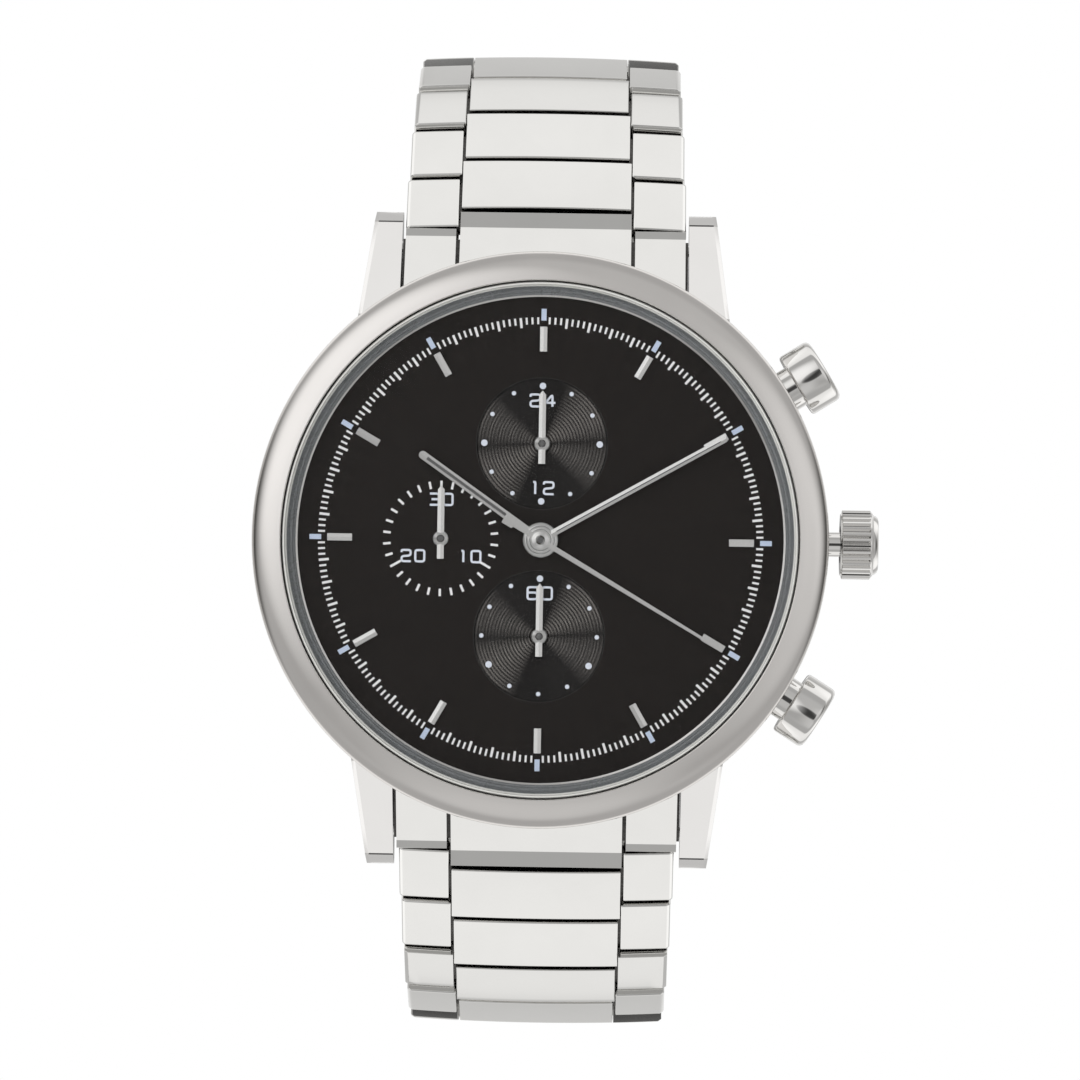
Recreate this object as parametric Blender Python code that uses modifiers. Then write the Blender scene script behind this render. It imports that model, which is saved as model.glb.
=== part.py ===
"""Chronograph wristwatch with a steel case, a three-piece link bracelet and a folding clasp.

Every piece is a child of the empty "head", whose frame has +X to 3 o'clock, +Y to 12 o'clock and
+Z out of the dial. The origin is the centre of the case back's flat outer face. The bracelet is
closed into a loop behind the case. Sizes are in millimetres and become metres when a mesh is made.
"""
import math

import bmesh
import bpy
from mathutils import Matrix

MM = 0.001
MERGE = 1e-6
SMOOTH_ANGLE = math.radians(30)
RING_STEPS = 40
SMALL_STEPS = 16
PIN_SIDES = 12

# Case: heights are measured outward from the case back's flat face
BEZEL_RADIUS = 22.0
CASE_RADIUS = 21.7
CASE_LOW = 1.7
CASE_HIGH = 7.4
MOVEMENT_BORE = 17.2
DIAL_BORE = 19.05
DIAL_LEDGE = 6.05
BEZEL_LOW = 7.5
BEZEL_HIGH = 9.9
CRYSTAL_RADIUS = 19.3
CRYSTAL_LOW = 8.3
STEM_HEIGHT = 4.3

# Dial and hands
DIAL_RADIUS = 18.95
DIAL_LOW = 6.15
DIAL_HIGH = 6.6
SUB_DIAL_RADIUS = 5.03
SUB_DIAL_RECESS = 0.15
SUB_DIAL_OFFSET = 7.38
MINUTE_COUNTER_OFFSET = 7.65
HOUR_ANGLE = 305.0
MINUTE_ANGLE = 60.5
CHRONO_ANGLE = 120.4
ARBOR_LOW = 3.9

# Lugs, spring bars and end links
LUG_INNER = 11.0
LUG_ROOT = 14.1
LUG_TIP = 13.0
SPRING_BAR = (22.5, 2.3)
SPRING_BAR_RADIUS = 0.5
SPRING_BAR_HALF = 11.9
END_LINK_HALF = 10.9
END_LINK_SLOPE = 30.0

# Bracelet links: each pin is a link's own, and turns in the end of the link before it
FIRST_PIN = (24.0, 1.7)
PITCH = 5.2
LINK_ROUND = 0.9
LINK_TOP = 1.5
LINK_BEVEL = 0.2
LINK_GAP = 0.08
PIN_RADIUS = 0.5
PIN_HOLE = 0.58
CENTRE_HALF = 6.7
OUTER_HALF = 10.75
SIDE_GAP = 0.25
TAPER = 0.15
SLOPES = (38, 41.5, 54.5, 67, 93, 117, 136, 150, 162)
UPPER_LINKS = 8
LOWER_LINKS = 9

# Clasp: plates that follow one arc from the last upper pin to the last lower pin
CLASP_START_SLOPE = 163.0
CLASP_HINGE_HEIGHT = 0.45
COVER_HINGE = 2.9
BLADE_HINGE = 36.0
HINGE_PIN = 0.3
HINGE_HOLE = 0.36
BAND_STEP = 5.0

# Crown and pushers: distances are measured from the case's centre
CROWN_RADIUS = 2.65
CROWN_FLUTES = 24
CROWN_START = 23.0
CROWN_END = 25.4
PUSHER_ANGLE = 32.0
PUSHER_RADIUS = 2.55
PUSHER_START = 22.87
PUSHER_END = 25.46

POLISHED_STEEL = ((0.78, 0.77, 0.75), 0.12, 1.0)
BRUSHED_STEEL = ((0.72, 0.72, 0.71), 0.32, 1.0)
BRASS = ((0.78, 0.62, 0.34), 0.3, 1.0)
COPPER = ((0.72, 0.42, 0.26), 0.35, 1.0)
BLACK_LACQUER = ((0.016, 0.015, 0.015), 0.25, 0.0)
GREY_METAL = ((0.32, 0.34, 0.34), 0.35, 1.0)
SAPPHIRE = ((0.95, 0.97, 1.0), 0.02, 0.0)
BLACK_RUBBER = ((0.02, 0.02, 0.02), 0.7, 0.0)
WHITE_PLASTIC = ((0.75, 0.75, 0.72), 0.5, 0.0)

# Outlines given as (across, along) are turned to run along these axes of the head's frame
EXTRUDE_ALONG = {
    "Z": Matrix.Identity(4),
    "X": Matrix(((0, 0, 1, 0), (1, 0, 0, 0), (0, 1, 0, 0), (0, 0, 0, 1))),
}


def clear_scene():
    for obj in list(bpy.data.objects):
        bpy.data.objects.remove(obj, do_unlink=True)


def new_collection(name):
    collection = bpy.data.collections.new(name)
    bpy.context.scene.collection.children.link(collection)
    return collection


clear_scene()
PARTS = new_collection("chronograph_wristwatch")
CUTTERS = new_collection("cutters")
HEAD = bpy.data.objects.new("head", None)
HEAD.rotation_euler = (math.radians(90), 0, 0)
PARTS.objects.link(HEAD)


# Shape tools

def evaluated_mesh(obj):
    bpy.context.view_layer.update()
    graph = bpy.context.evaluated_depsgraph_get()
    return bpy.data.meshes.new_from_object(obj.evaluated_get(graph))


def tool_object(name, mesh):
    """An object that is a cutter, or the first stage of a part, until part() places it."""
    obj = bpy.data.objects.new(name, mesh)
    CUTTERS.objects.link(obj)
    obj.hide_render = True
    obj.display_type = "WIRE"
    return obj


def turned(name, profile, steps=RING_STEPS, ring=True):
    """Turn (radius, height) points about Z. A ring's profile is closed; a disc's ends lie on the axis."""
    edges = [(i, i + 1) for i in range(len(profile) - 1)]
    if ring:
        edges.append((len(profile) - 1, 0))
    mesh = bpy.data.meshes.new(name)
    mesh.from_pydata([(radius * MM, 0, height * MM) for radius, height in profile], edges, [])
    obj = tool_object(name, mesh)
    screw = obj.modifiers.new("turn", "SCREW")
    screw.steps = steps
    screw.render_steps = steps
    screw.use_merge_vertices = True
    screw.merge_threshold = MERGE
    obj.data = evaluated_mesh(obj)
    obj.modifiers.clear()
    return obj


def ring_profile(inner, outer, low, high):
    return [(inner, high), (outer, high), (outer, low), (inner, low)]


def prism(name, outline, low, high, axis="Z"):
    """A flat outline extruded from low to high along an axis."""
    curve = bpy.data.curves.new(name, "CURVE")
    curve.dimensions = "2D"
    curve.fill_mode = "BOTH"
    curve.extrude = (high - low) / 2
    spline = curve.splines.new("POLY")
    spline.points.add(len(outline) - 1)
    for point, (across, along) in zip(spline.points, outline):
        point.co = (across, along, 0, 1)
    spline.use_cyclic_u = True
    guide = bpy.data.objects.new(name, curve)
    CUTTERS.objects.link(guide)
    mesh = evaluated_mesh(guide)
    bpy.data.objects.remove(guide)
    middle = Matrix.Translation((0, 0, (low + high) / 2))
    mesh.transform(Matrix.Scale(MM, 4) @ EXTRUDE_ALONG[axis] @ middle)
    weld(mesh)
    return tool_object(name, mesh)


def weld(mesh):
    shape = bmesh.new()
    shape.from_mesh(mesh)
    bmesh.ops.remove_doubles(shape, verts=shape.verts, dist=MERGE)
    bmesh.ops.recalc_face_normals(shape, faces=shape.faces)
    shape.to_mesh(mesh)
    shape.free()


def cylinder(name, radius, low, high, centre=(0.0, 0.0), axis="Z", sides=PIN_SIDES):
    shape = bmesh.new()
    bmesh.ops.create_cone(
        shape, cap_ends=True, segments=sides,
        radius1=radius, radius2=radius, depth=high - low,
    )
    place = Matrix.Translation((centre[0], centre[1], (low + high) / 2))
    bmesh.ops.transform(shape, matrix=Matrix.Scale(MM, 4) @ EXTRUDE_ALONG[axis] @ place, verts=shape.verts)
    mesh = bpy.data.meshes.new(name)
    shape.to_mesh(mesh)
    shape.free()
    return tool_object(name, mesh)


def box(name, low, high):
    size = [top - bottom for bottom, top in zip(low, high)]
    middle = [(top + bottom) / 2 for bottom, top in zip(low, high)]
    shape = bmesh.new()
    bmesh.ops.create_cube(shape, size=1)
    place = Matrix.Translation(middle) @ Matrix.Diagonal((*size, 1))
    bmesh.ops.transform(shape, matrix=Matrix.Scale(MM, 4) @ place, verts=shape.verts)
    mesh = bpy.data.meshes.new(name)
    shape.to_mesh(mesh)
    shape.free()
    return tool_object(name, mesh)


def laid_along_x(obj, height=STEM_HEIGHT, angle=0.0):
    """Lay a shape made along Z so that it runs out from the case's centre at an angle from 3 o'clock."""
    turn = Matrix.Rotation(math.radians(angle), 4, "Z")
    lift = Matrix.Translation((0, 0, height * MM))
    lay = Matrix.Rotation(math.radians(90), 4, "Y")
    obj.data.transform(turn @ lift @ lay)
    return obj


def combined(base, joins=(), cuts=()):
    """Join solids to the base, then cut others from it. The tools are used up."""
    steps = [(tool, "UNION") for tool in joins] + [(tool, "DIFFERENCE") for tool in cuts]
    for tool, operation in steps:
        boolean = base.modifiers.new(tool.name, "BOOLEAN")
        boolean.operation = operation
        boolean.solver = "EXACT"
        boolean.object = tool
    base.data = evaluated_mesh(base)
    base.modifiers.clear()
    for tool, _ in steps:
        bpy.data.objects.remove(tool)
    return base


def part(name, obj, finish, location=(0, 0, 0), rotation=(0, 0, 0)):
    """Name a finished solid, place it in the head's frame and give it its own material."""
    color, roughness, metallic = finish
    material = bpy.data.materials.new(name)
    material.use_nodes = True
    shader = material.node_tree.nodes["Principled BSDF"]
    shader.inputs["Base Color"].default_value = (*color, 1)
    shader.inputs["Roughness"].default_value = roughness
    shader.inputs["Metallic"].default_value = metallic
    obj.data.materials.clear()
    obj.data.materials.append(material)
    obj.data.shade_smooth()
    obj.data.set_sharp_from_angle(angle=SMOOTH_ANGLE)
    obj.name = name
    obj.data.name = name
    obj.hide_render = False
    obj.display_type = "TEXTURED"
    CUTTERS.objects.unlink(obj)
    PARTS.objects.link(obj)
    obj.parent = HEAD
    obj.location = [value * MM for value in location]
    obj.rotation_euler = [math.radians(angle) for angle in rotation]
    return obj


def arc(centre, radius, start, end, steps):
    """Points on an arc, from one angle in degrees to another."""
    angles = [math.radians(start + (end - start) * i / steps) for i in range(steps + 1)]
    return [(centre[0] + radius * math.cos(a), centre[1] + radius * math.sin(a)) for a in angles]


def toothed_outline(radius, depth, teeth):
    """A round outline with square teeth."""
    points = []
    for tooth in range(teeth):
        start = 360 * tooth / teeth
        half = 180 / teeth
        points += arc((0, 0), radius, start, start + half, 1)
        points += arc((0, 0), radius - depth, start + half, start + 2 * half, 1)
    return points


# Case

def lug_block(side, end):
    """One lug: its side profile, limited in plan to an outline that narrows towards the tip."""
    profile = [
        (14, 7.2), (19, 6.9), (23, 5.2), (24.9, 3.2), (25.3, 2.0), (25.1, 0.3),
        (24.0, -0.1), (20, 0.8), (14, 1.8),
    ]
    plan = [(LUG_INNER, 13), (LUG_ROOT + 0.6, 13), (LUG_ROOT, 18), (LUG_TIP, 26), (LUG_INNER, 26)]
    lug = prism("lug", profile, LUG_INNER - 1, LUG_ROOT + 1, "X")
    limit = prism("lug_plan", plan, -1, 9)
    boolean = lug.modifiers.new("plan", "BOOLEAN")
    boolean.operation = "INTERSECT"
    boolean.solver = "EXACT"
    boolean.object = limit
    lug.data = evaluated_mesh(lug)
    lug.modifiers.clear()
    bpy.data.objects.remove(limit)
    lug.data.transform(Matrix.Diagonal((side, end, 1, 1)))
    if side * end < 0:
        lug.data.flip_normals()
    return lug


def mid_case():
    band = turned("mid_case", [
        (DIAL_BORE, CASE_HIGH), (21.4, CASE_HIGH), (CASE_RADIUS, 7.1), (CASE_RADIUS, 3.4),
        (20.6, CASE_LOW), (MOVEMENT_BORE, CASE_LOW), (MOVEMENT_BORE, DIAL_LEDGE), (DIAL_BORE, DIAL_LEDGE),
    ])
    lugs = [lug_block(side, end) for side in (-1, 1) for end in (-1, 1)]
    inside = turned("case_inside", [
        (0, CASE_HIGH + 1), (DIAL_BORE, CASE_HIGH + 1), (DIAL_BORE, DIAL_LEDGE),
        (MOVEMENT_BORE, DIAL_LEDGE), (MOVEMENT_BORE, -1), (0, -1),
    ], ring=False)
    cuts = [inside, laid_along_x(cylinder("crown_bore", 1.0, 16, 23, sides=SMALL_STEPS))]
    for angle in (-PUSHER_ANGLE, PUSHER_ANGLE):
        wide = cylinder("pusher_bore", 2.15, 19.15, 23, sides=SMALL_STEPS)
        narrow = cylinder("pusher_hole", 0.65, 16, 23)
        cuts += [laid_along_x(wide, angle=angle), laid_along_x(narrow, angle=angle)]
    for end in (-1, 1):
        centre = (end * SPRING_BAR[0], SPRING_BAR[1])
        cuts.append(cylinder("bar_hole", 0.56, -12.1, 12.1, centre, "X"))
    part("mid_case", combined(band, lugs, cuts), BRUSHED_STEEL)


def bezel_and_crystal():
    part("bezel", turned("bezel", [
        (19.75, 9.55), (20.0, 9.82), (20.4, BEZEL_HIGH), (21.1, 9.65), (21.7, 9.0),
        (BEZEL_RADIUS, 8.2), (BEZEL_RADIUS, 7.7), (21.8, BEZEL_LOW), (19.75, BEZEL_LOW),
    ]), POLISHED_STEEL)
    part("crystal", turned("crystal", [
        (0, 9.95), (19.0, 9.95), (CRYSTAL_RADIUS, 9.7), (CRYSTAL_RADIUS, CRYSTAL_LOW), (0, CRYSTAL_LOW),
    ], ring=False), SAPPHIRE)
    part("crystal_gasket", turned("crystal_gasket", ring_profile(19.36, 19.69, CRYSTAL_LOW, 9.5)), WHITE_PLASTIC)
    part("dial_flange", turned("dial_flange", [
        (19.35, 8.2), (19.65, 8.2), (19.65, 7.55), (18.98, 7.55), (18.98, 6.66), (18.6, 6.66), (18.6, 6.9),
    ]), GREY_METAL)


def case_back_set():
    part("case_back", turned("case_back", [
        (0, 1.6), (16.2, 1.6), (16.2, 2.3), (17.0, 2.3), (17.0, 1.6), (17.5, 1.6), (17.5, 1.2),
        (18.1, 1.2), (18.1, 1.6), (18.8, 1.6), (18.8, 0.9), (17.2, 0.25), (15.0, 0), (0, 0),
    ], ring=False), BRUSHED_STEEL)
    part("case_back_gasket", turned("case_back_gasket", ring_profile(17.58, 18.02, 1.26, 1.64)), BLACK_RUBBER)


# Movement

def movement():
    holes = [laid_along_x(cylinder("stem_hole", 0.5, 14, 18))]
    for angle in (-PUSHER_ANGLE, PUSHER_ANGLE):
        holes.append(laid_along_x(cylinder("pusher_path", 0.65, 14, 18), angle=angle))
    ring = turned("movement_ring", ring_profile(15.7, 17.1, 2.4, 6.0))
    part("movement_ring", combined(ring, cuts=holes), WHITE_PLASTIC)

    arbors = [(0, SUB_DIAL_OFFSET), (0, -SUB_DIAL_OFFSET), (-MINUTE_COUNTER_OFFSET, 0)]
    holes = [cylinder("arbor_hole", 0.3, 4, 6, centre) for centre in arbors]
    holes.append(cylinder("centre_hole", 0.6, 4, 6, sides=SMALL_STEPS))
    plate = turned("main_plate", [(0, 5.3), (15.5, 5.3), (15.5, 4.75), (0, 4.75)], ring=False)
    part("main_plate", combined(plate, cuts=holes), BRASS)

    bridge = [(-10.5, 2.5), (-10.5, -2.5), (-2.5, -10), (2.5, -10), (3.5, 0), (2.5, 10), (-2.5, 10)]
    part("train_bridge", prism("train_bridge", bridge, 3.0, 3.85), BRASS)

    coil_profile = [(0, 4.5), (1.4, 4.5), (1.4, 4.0), (1.1, 4.0), (1.1, -4.0), (1.4, -4.0), (1.4, -4.5), (0, -4.5)]
    coil = turned("coil", coil_profile, SMALL_STEPS, ring=False)
    coil.data.transform(Matrix.Rotation(math.radians(90), 4, "Y"))
    part("coil", coil, COPPER, (7.5, 7.5, 3.2), (0, 0, -45))

    centre = (8.8, -6.5)
    part("battery", cylinder("battery", 4.0, 2.0, 4.6, centre, sides=32), POLISHED_STEEL)
    clamp = box("battery_clamp", (centre[0] - 5.2, centre[1] - 1.1, 1.72), (centre[0] + 4.8, centre[1] + 1.1, 1.92))
    part("battery_clamp", clamp, BRASS)


def dial():
    plate = turned("dial", [
        (0, DIAL_HIGH), (DIAL_RADIUS, DIAL_HIGH), (DIAL_RADIUS, DIAL_LOW), (0, DIAL_LOW),
    ], ring=False)
    floor = DIAL_HIGH - SUB_DIAL_RECESS
    cuts = [cylinder("centre_hole", 0.9, 5, 8, sides=SMALL_STEPS)]
    cuts.append(cylinder("arbor_hole", 0.3, 5, 8, (-MINUTE_COUNTER_OFFSET, 0)))
    for end in (-1, 1):
        centre = (0, end * SUB_DIAL_OFFSET)
        cuts.append(cylinder("sub_dial_recess", SUB_DIAL_RADIUS, floor, 8, centre, sides=32))
        cuts.append(cylinder("arbor_hole", 0.3, 5, 8, centre))
    part("dial", combined(plate, cuts=cuts), BLACK_LACQUER)


# Hands, and the wheels that carry them

def hand(name, outline, hub, hole, low, high, centre, angle):
    """A flat hand that points to 12 o'clock before it is turned clockwise by its angle."""
    blade = prism(name, outline, low, high)
    boss = cylinder("hub", hub, low - 0.02, high + 0.02, sides=SMALL_STEPS)
    bore = cylinder("bore", hole, low - 1, high + 1, sides=PIN_SIDES)
    shape = combined(blade, [boss], [bore])
    part(name, shape, POLISHED_STEEL, (*centre, 0), (0, 0, -angle))


def blade_outline(length, tail, root, tip):
    """A straight blade from its tail to a pointed tip."""
    return [
        (-root / 2, -tail), (root / 2, -tail), (tip / 2, length - tip / 2),
        (0, length), (-tip / 2, length - tip / 2),
    ]


def arbor_wheel(name, radius, teeth, arbor, high, centre, angle):
    """A toothed wheel fixed on a solid arbor."""
    wheel = prism(name, toothed_outline(radius, 0.2, teeth), 4.0, 4.25)
    shaft = cylinder("arbor", arbor, ARBOR_LOW, high)
    part(name, combined(wheel, [shaft]), BRASS, (*centre, 0), (0, 0, -angle))


def pipe_wheel(name, radius, teeth, bore, pipe, disc_low, disc_high, low, high, angle):
    """A toothed wheel fixed on a pipe that turns on the shaft inside it."""
    wheel = prism(name, toothed_outline(radius, 0.2, teeth), disc_low, disc_high)
    tube = cylinder("pipe", pipe, low, high, sides=SMALL_STEPS)
    hole = cylinder("bore", bore, low - 1, high + 1, sides=SMALL_STEPS)
    part(name, combined(wheel, [tube], [hole]), BRASS, rotation=(0, 0, -angle))


def hands():
    middle = (0, 0)
    hand("hour_hand", blade_outline(11.4, 0.3, 0.62, 0.62), 1.35, 0.86, 7.0, 7.15, middle, HOUR_ANGLE)
    pipe_wheel("hour_wheel", 2.6, 16, 0.58, 0.8, 5.75, 5.95, 5.75, 7.2, HOUR_ANGLE)
    hand("minute_hand", blade_outline(16.2, 0.3, 0.5, 0.46), 1.1, 0.58, 7.4, 7.55, middle, MINUTE_ANGLE)
    pipe_wheel("cannon_pinion", 1.2, 8, 0.31, 0.52, 5.4, 5.6, 4.9, 7.6, MINUTE_ANGLE)
    hand("chrono_seconds_hand", blade_outline(16.0, 3.3, 0.4, 0.2), 0.85, 0.31, 7.75, 7.87, middle, CHRONO_ANGLE)
    arbor_wheel("chrono_seconds_wheel", 2.4, 16, 0.25, 7.95, middle, CHRONO_ANGLE)
    sub_hands = {
        "twenty_four_hour": (0, SUB_DIAL_OFFSET),
        "small_seconds": (0, -SUB_DIAL_OFFSET),
        "minute_counter": (-MINUTE_COUNTER_OFFSET, 0),
    }
    for name, centre in sub_hands.items():
        outline = blade_outline(4.06, 1.57, 0.53, 0.45)
        hand(name + "_hand", outline, 0.6, 0.28, 6.75, 6.87, centre, 0)
        arbor_wheel(name + "_wheel", 1.5, 10, 0.22, 6.95, centre, 0)


# Crown and pushers

def crown_set():
    grip = prism("crown", toothed_outline(CROWN_RADIUS, 0.18, CROWN_FLUTES), 0, CROWN_END - CROWN_START)
    end_disc = cylinder("crown_end", 2.2, 2.0, 2.9, sides=32)
    counterbore = cylinder("crown_counterbore", 1.45, -1, 1.3, sides=SMALL_STEPS)
    stem_hole = cylinder("crown_stem_hole", 0.5, -1, 1.9)
    crown = combined(grip, [end_disc], [counterbore, stem_hole])
    place = {"location": (CROWN_START, 0, STEM_HEIGHT), "rotation": (0, 90, 0)}
    part("crown", crown, POLISHED_STEEL, **place)
    stem = cylinder("winding_stem", 0.4, 12.0 - CROWN_START, 24.8 - CROWN_START)
    part("winding_stem", stem, BRUSHED_STEEL, **place)
    gasket = turned("crown_gasket", ring_profile(1.02, 1.36, 0.3, 0.8), SMALL_STEPS)
    part("crown_gasket", gasket, BLACK_RUBBER, **place)
    tube = turned("crown_tube", ring_profile(0.6, 0.94, 17.5, 24.0), SMALL_STEPS)
    part("crown_tube", tube, POLISHED_STEEL, (0, 0, STEM_HEIGHT), (0, 90, 0))


def spring_mesh(name):
    """A round return spring of two turns about local Z."""
    turns = 2
    points_per_turn = 9
    radius = 1.1
    low = 19.68
    high = 20.5
    count = turns * points_per_turn
    curve = bpy.data.curves.new(name, "CURVE")
    curve.dimensions = "3D"
    curve.bevel_depth = 0.09 * MM
    curve.bevel_resolution = 2
    curve.use_fill_caps = True
    spline = curve.splines.new("POLY")
    spline.points.add(count)
    for i, point in enumerate(spline.points):
        angle = 2 * math.pi * i / points_per_turn
        height = low + (high - low) * i / count
        point.co = (radius * MM * math.cos(angle), radius * MM * math.sin(angle), height * MM, 1)
    guide = bpy.data.objects.new(name, curve)
    CUTTERS.objects.link(guide)
    mesh = evaluated_mesh(guide)
    bpy.data.objects.remove(guide)
    weld(mesh)
    return mesh


def pusher_set(name, angle):
    """A chronograph pusher: a cap and piston on a stem, in a tube with a return spring."""
    body = turned(name, [
        (0, PUSHER_END), (2.3, PUSHER_END), (PUSHER_RADIUS, 25.2), (PUSHER_RADIUS, PUSHER_START),
        (1.65, PUSHER_START), (1.65, 20.65), (0.5, 20.65), (0.5, 17.4), (0, 17.4),
    ], 24, ring=False)
    tube = turned(name + "_tube", [
        (1.75, 21.6), (2.1, 21.6), (2.1, 19.2), (0.65, 19.2), (0.65, 19.5), (1.75, 19.5),
    ], 24)
    spring = tool_object(name + "_spring", spring_mesh(name + "_spring"))
    place = {"location": (0, 0, STEM_HEIGHT), "rotation": (0, 90, angle)}
    part(name, body, POLISHED_STEEL, **place)
    part(name + "_tube", tube, POLISHED_STEEL, **place)
    part(name + "_spring", spring, BRUSHED_STEEL, **place)


# Bracelet

def chain_pins(count):
    """Each pin's (along, height) and each link's slope below the dial's plane, from the case outwards."""
    along, height = FIRST_PIN
    pins = [(along, height)]
    for slope in SLOPES[:count]:
        angle = math.radians(slope)
        along += PITCH * math.cos(angle)
        height -= PITCH * math.sin(angle)
        pins.append((along, height))
    return pins


def centre_outline(start, end):
    """The middle piece's side view: a square start, and an end rounded below its hole's axis."""
    return [
        (start, -LINK_ROUND), *arc((end, 0), LINK_ROUND, -90, 0, 4),
        (end + LINK_ROUND, LINK_TOP - LINK_BEVEL), (end + LINK_ROUND - LINK_BEVEL, LINK_TOP),
        (start + LINK_BEVEL, LINK_TOP), (start, LINK_TOP - LINK_BEVEL),
    ]


def outer_outline():
    """A side piece's side view: a start rounded below its pin's axis, and a square end."""
    end = PITCH - LINK_ROUND - LINK_GAP
    return [
        *arc((0, 0), LINK_ROUND, 180, 270, 4), (end, -LINK_ROUND), (end, LINK_TOP - LINK_BEVEL),
        (end - LINK_BEVEL, LINK_TOP), (LINK_BEVEL - LINK_ROUND, LINK_TOP), (-LINK_ROUND, LINK_TOP - LINK_BEVEL),
    ]


def link(name, row, location, rotation):
    """One bracelet row: a middle piece and two side pieces on a web, and the pin at its start."""
    centre = CENTRE_HALF - TAPER * row
    inner = centre + SIDE_GAP
    outer = OUTER_HALF - TAPER * row
    start = LINK_ROUND + LINK_GAP
    middle = prism("link_centre", centre_outline(start, PITCH), -centre, centre, "X")
    joins = [
        prism("link_side", outer_outline(), inner, outer, "X"),
        prism("link_side", outer_outline(), -outer, -inner, "X"),
        box("link_web", (-inner - 0.1, start + 0.15, -0.7), (inner + 0.1, PITCH - start - 0.15, 1.2)),
        cylinder("link_pin", PIN_RADIUS, -inner - 0.5, inner + 0.5, axis="X"),
    ]
    hole = cylinder("link_hole", PIN_HOLE, -centre - 1, centre + 1, (PITCH, 0), "X")
    part(name, combined(middle, joins, [hole]), POLISHED_STEEL, location, rotation)


def end_link(name, turn):
    """The piece that fills the space between two lugs and carries the first link's hinge."""
    slope = math.radians(END_LINK_SLOPE)

    def at(along, out):
        """A point given along and out from the first pin, in the end link's sloping frame."""
        return (
            FIRST_PIN[0] + along * math.cos(slope) + out * math.sin(slope),
            FIRST_PIN[1] - along * math.sin(slope) + out * math.cos(slope),
        )

    face = -LINK_ROUND - LINK_GAP
    block = prism("end_link", [
        (18.0, 5.9), (22.0, 5.0), (23.4, 4.25), at(face, LINK_TOP),
        at(face, -LINK_ROUND), (22.8, 0.58), (18.0, 0.85),
    ][::-1], -END_LINK_HALF, END_LINK_HALF, "X")
    round_end = [at(along, out) for along, out in arc((0, 0), LINK_ROUND, -90, 0, 4)]
    tongue = prism("end_link_tongue", [
        at(-1.6, -LINK_ROUND + 0.1), *round_end, at(LINK_ROUND, LINK_TOP - LINK_BEVEL),
        at(LINK_ROUND - LINK_BEVEL, LINK_TOP), at(-1.6, LINK_TOP - 0.02),
    ], -CENTRE_HALF, CENTRE_HALF, "X")
    cuts = [
        cylinder("first_pin_hole", PIN_HOLE, -8, 8, FIRST_PIN, "X"),
        cylinder("bar_hole", 0.56, -12, 12, SPRING_BAR, "X"),
        cylinder("case_clearance", CASE_RADIUS + 0.12, -1, 9, sides=RING_STEPS),
    ]
    part(name, combined(block, [tongue], cuts), POLISHED_STEEL, rotation=(0, 0, turn))


def bracelet():
    for side, turn, count in (("upper", 0, UPPER_LINKS), ("lower", 180, LOWER_LINKS)):
        direction = 1 if turn == 0 else -1
        end_link(side + "_end_link", turn)
        bar = cylinder("spring_bar", SPRING_BAR_RADIUS, -SPRING_BAR_HALF, SPRING_BAR_HALF, axis="X")
        place = (0, direction * SPRING_BAR[0], SPRING_BAR[1])
        part(side + "_spring_bar", bar, BRUSHED_STEEL, place)
        pins = chain_pins(count)
        for row in range(1, count + 1):
            along, height = pins[row - 1]
            rotation = (-SLOPES[row - 1], 0, turn)
            link(f"{side}_link_{row}", row, (0, direction * along, height), rotation)


# Clasp

class ClaspArc:
    """The arc from the last upper pin to the last lower pin. Points are given along and out from it."""

    def __init__(self):
        start = chain_pins(UPPER_LINKS)[-1]
        far = chain_pins(LOWER_LINKS)[-1]
        run = (-far[0] - start[0], far[1] - start[1])
        chord_slope = math.atan2(-run[1], run[0])
        self.slope = math.radians(CLASP_START_SLOPE)
        half_turn = chord_slope - self.slope
        self.radius = math.hypot(*run) / (2 * math.sin(half_turn))
        self.length = 2 * half_turn * self.radius
        self.centre = (
            start[0] - self.radius * math.sin(self.slope),
            start[1] - self.radius * math.cos(self.slope),
        )

    def point(self, along, out):
        slope = self.slope + along / self.radius
        reach = self.radius + out
        return (self.centre[0] + reach * math.sin(slope), self.centre[1] + reach * math.cos(slope))

    def band(self, along, out, across):
        """A plate between two distances along, two out and two across."""
        steps = max(1, round((along[1] - along[0]) / BAND_STEP))
        places = [along[0] + (along[1] - along[0]) * i / steps for i in range(steps + 1)]
        outline = [self.point(place, out[0]) for place in places]
        outline += [self.point(place, out[1]) for place in reversed(places)]
        return prism("band", outline, *across, "X")

    def rod(self, along, out, radius, across):
        return cylinder("rod", radius, *across, self.point(along, out), "X")

    def pair(self, make, *sizes, across):
        """The same shape on both sides of the clasp."""
        inner, outer = across
        return [make(*sizes, (inner, outer)), make(*sizes, (-outer, -inner))]


def placed_on(obj, origin):
    """Move a mesh so that its origin is on a hinge's axis, given as (along, height)."""
    obj.data.transform(Matrix.Translation((0, -origin[0] * MM, -origin[1] * MM)))
    return (0, *origin)


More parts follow.
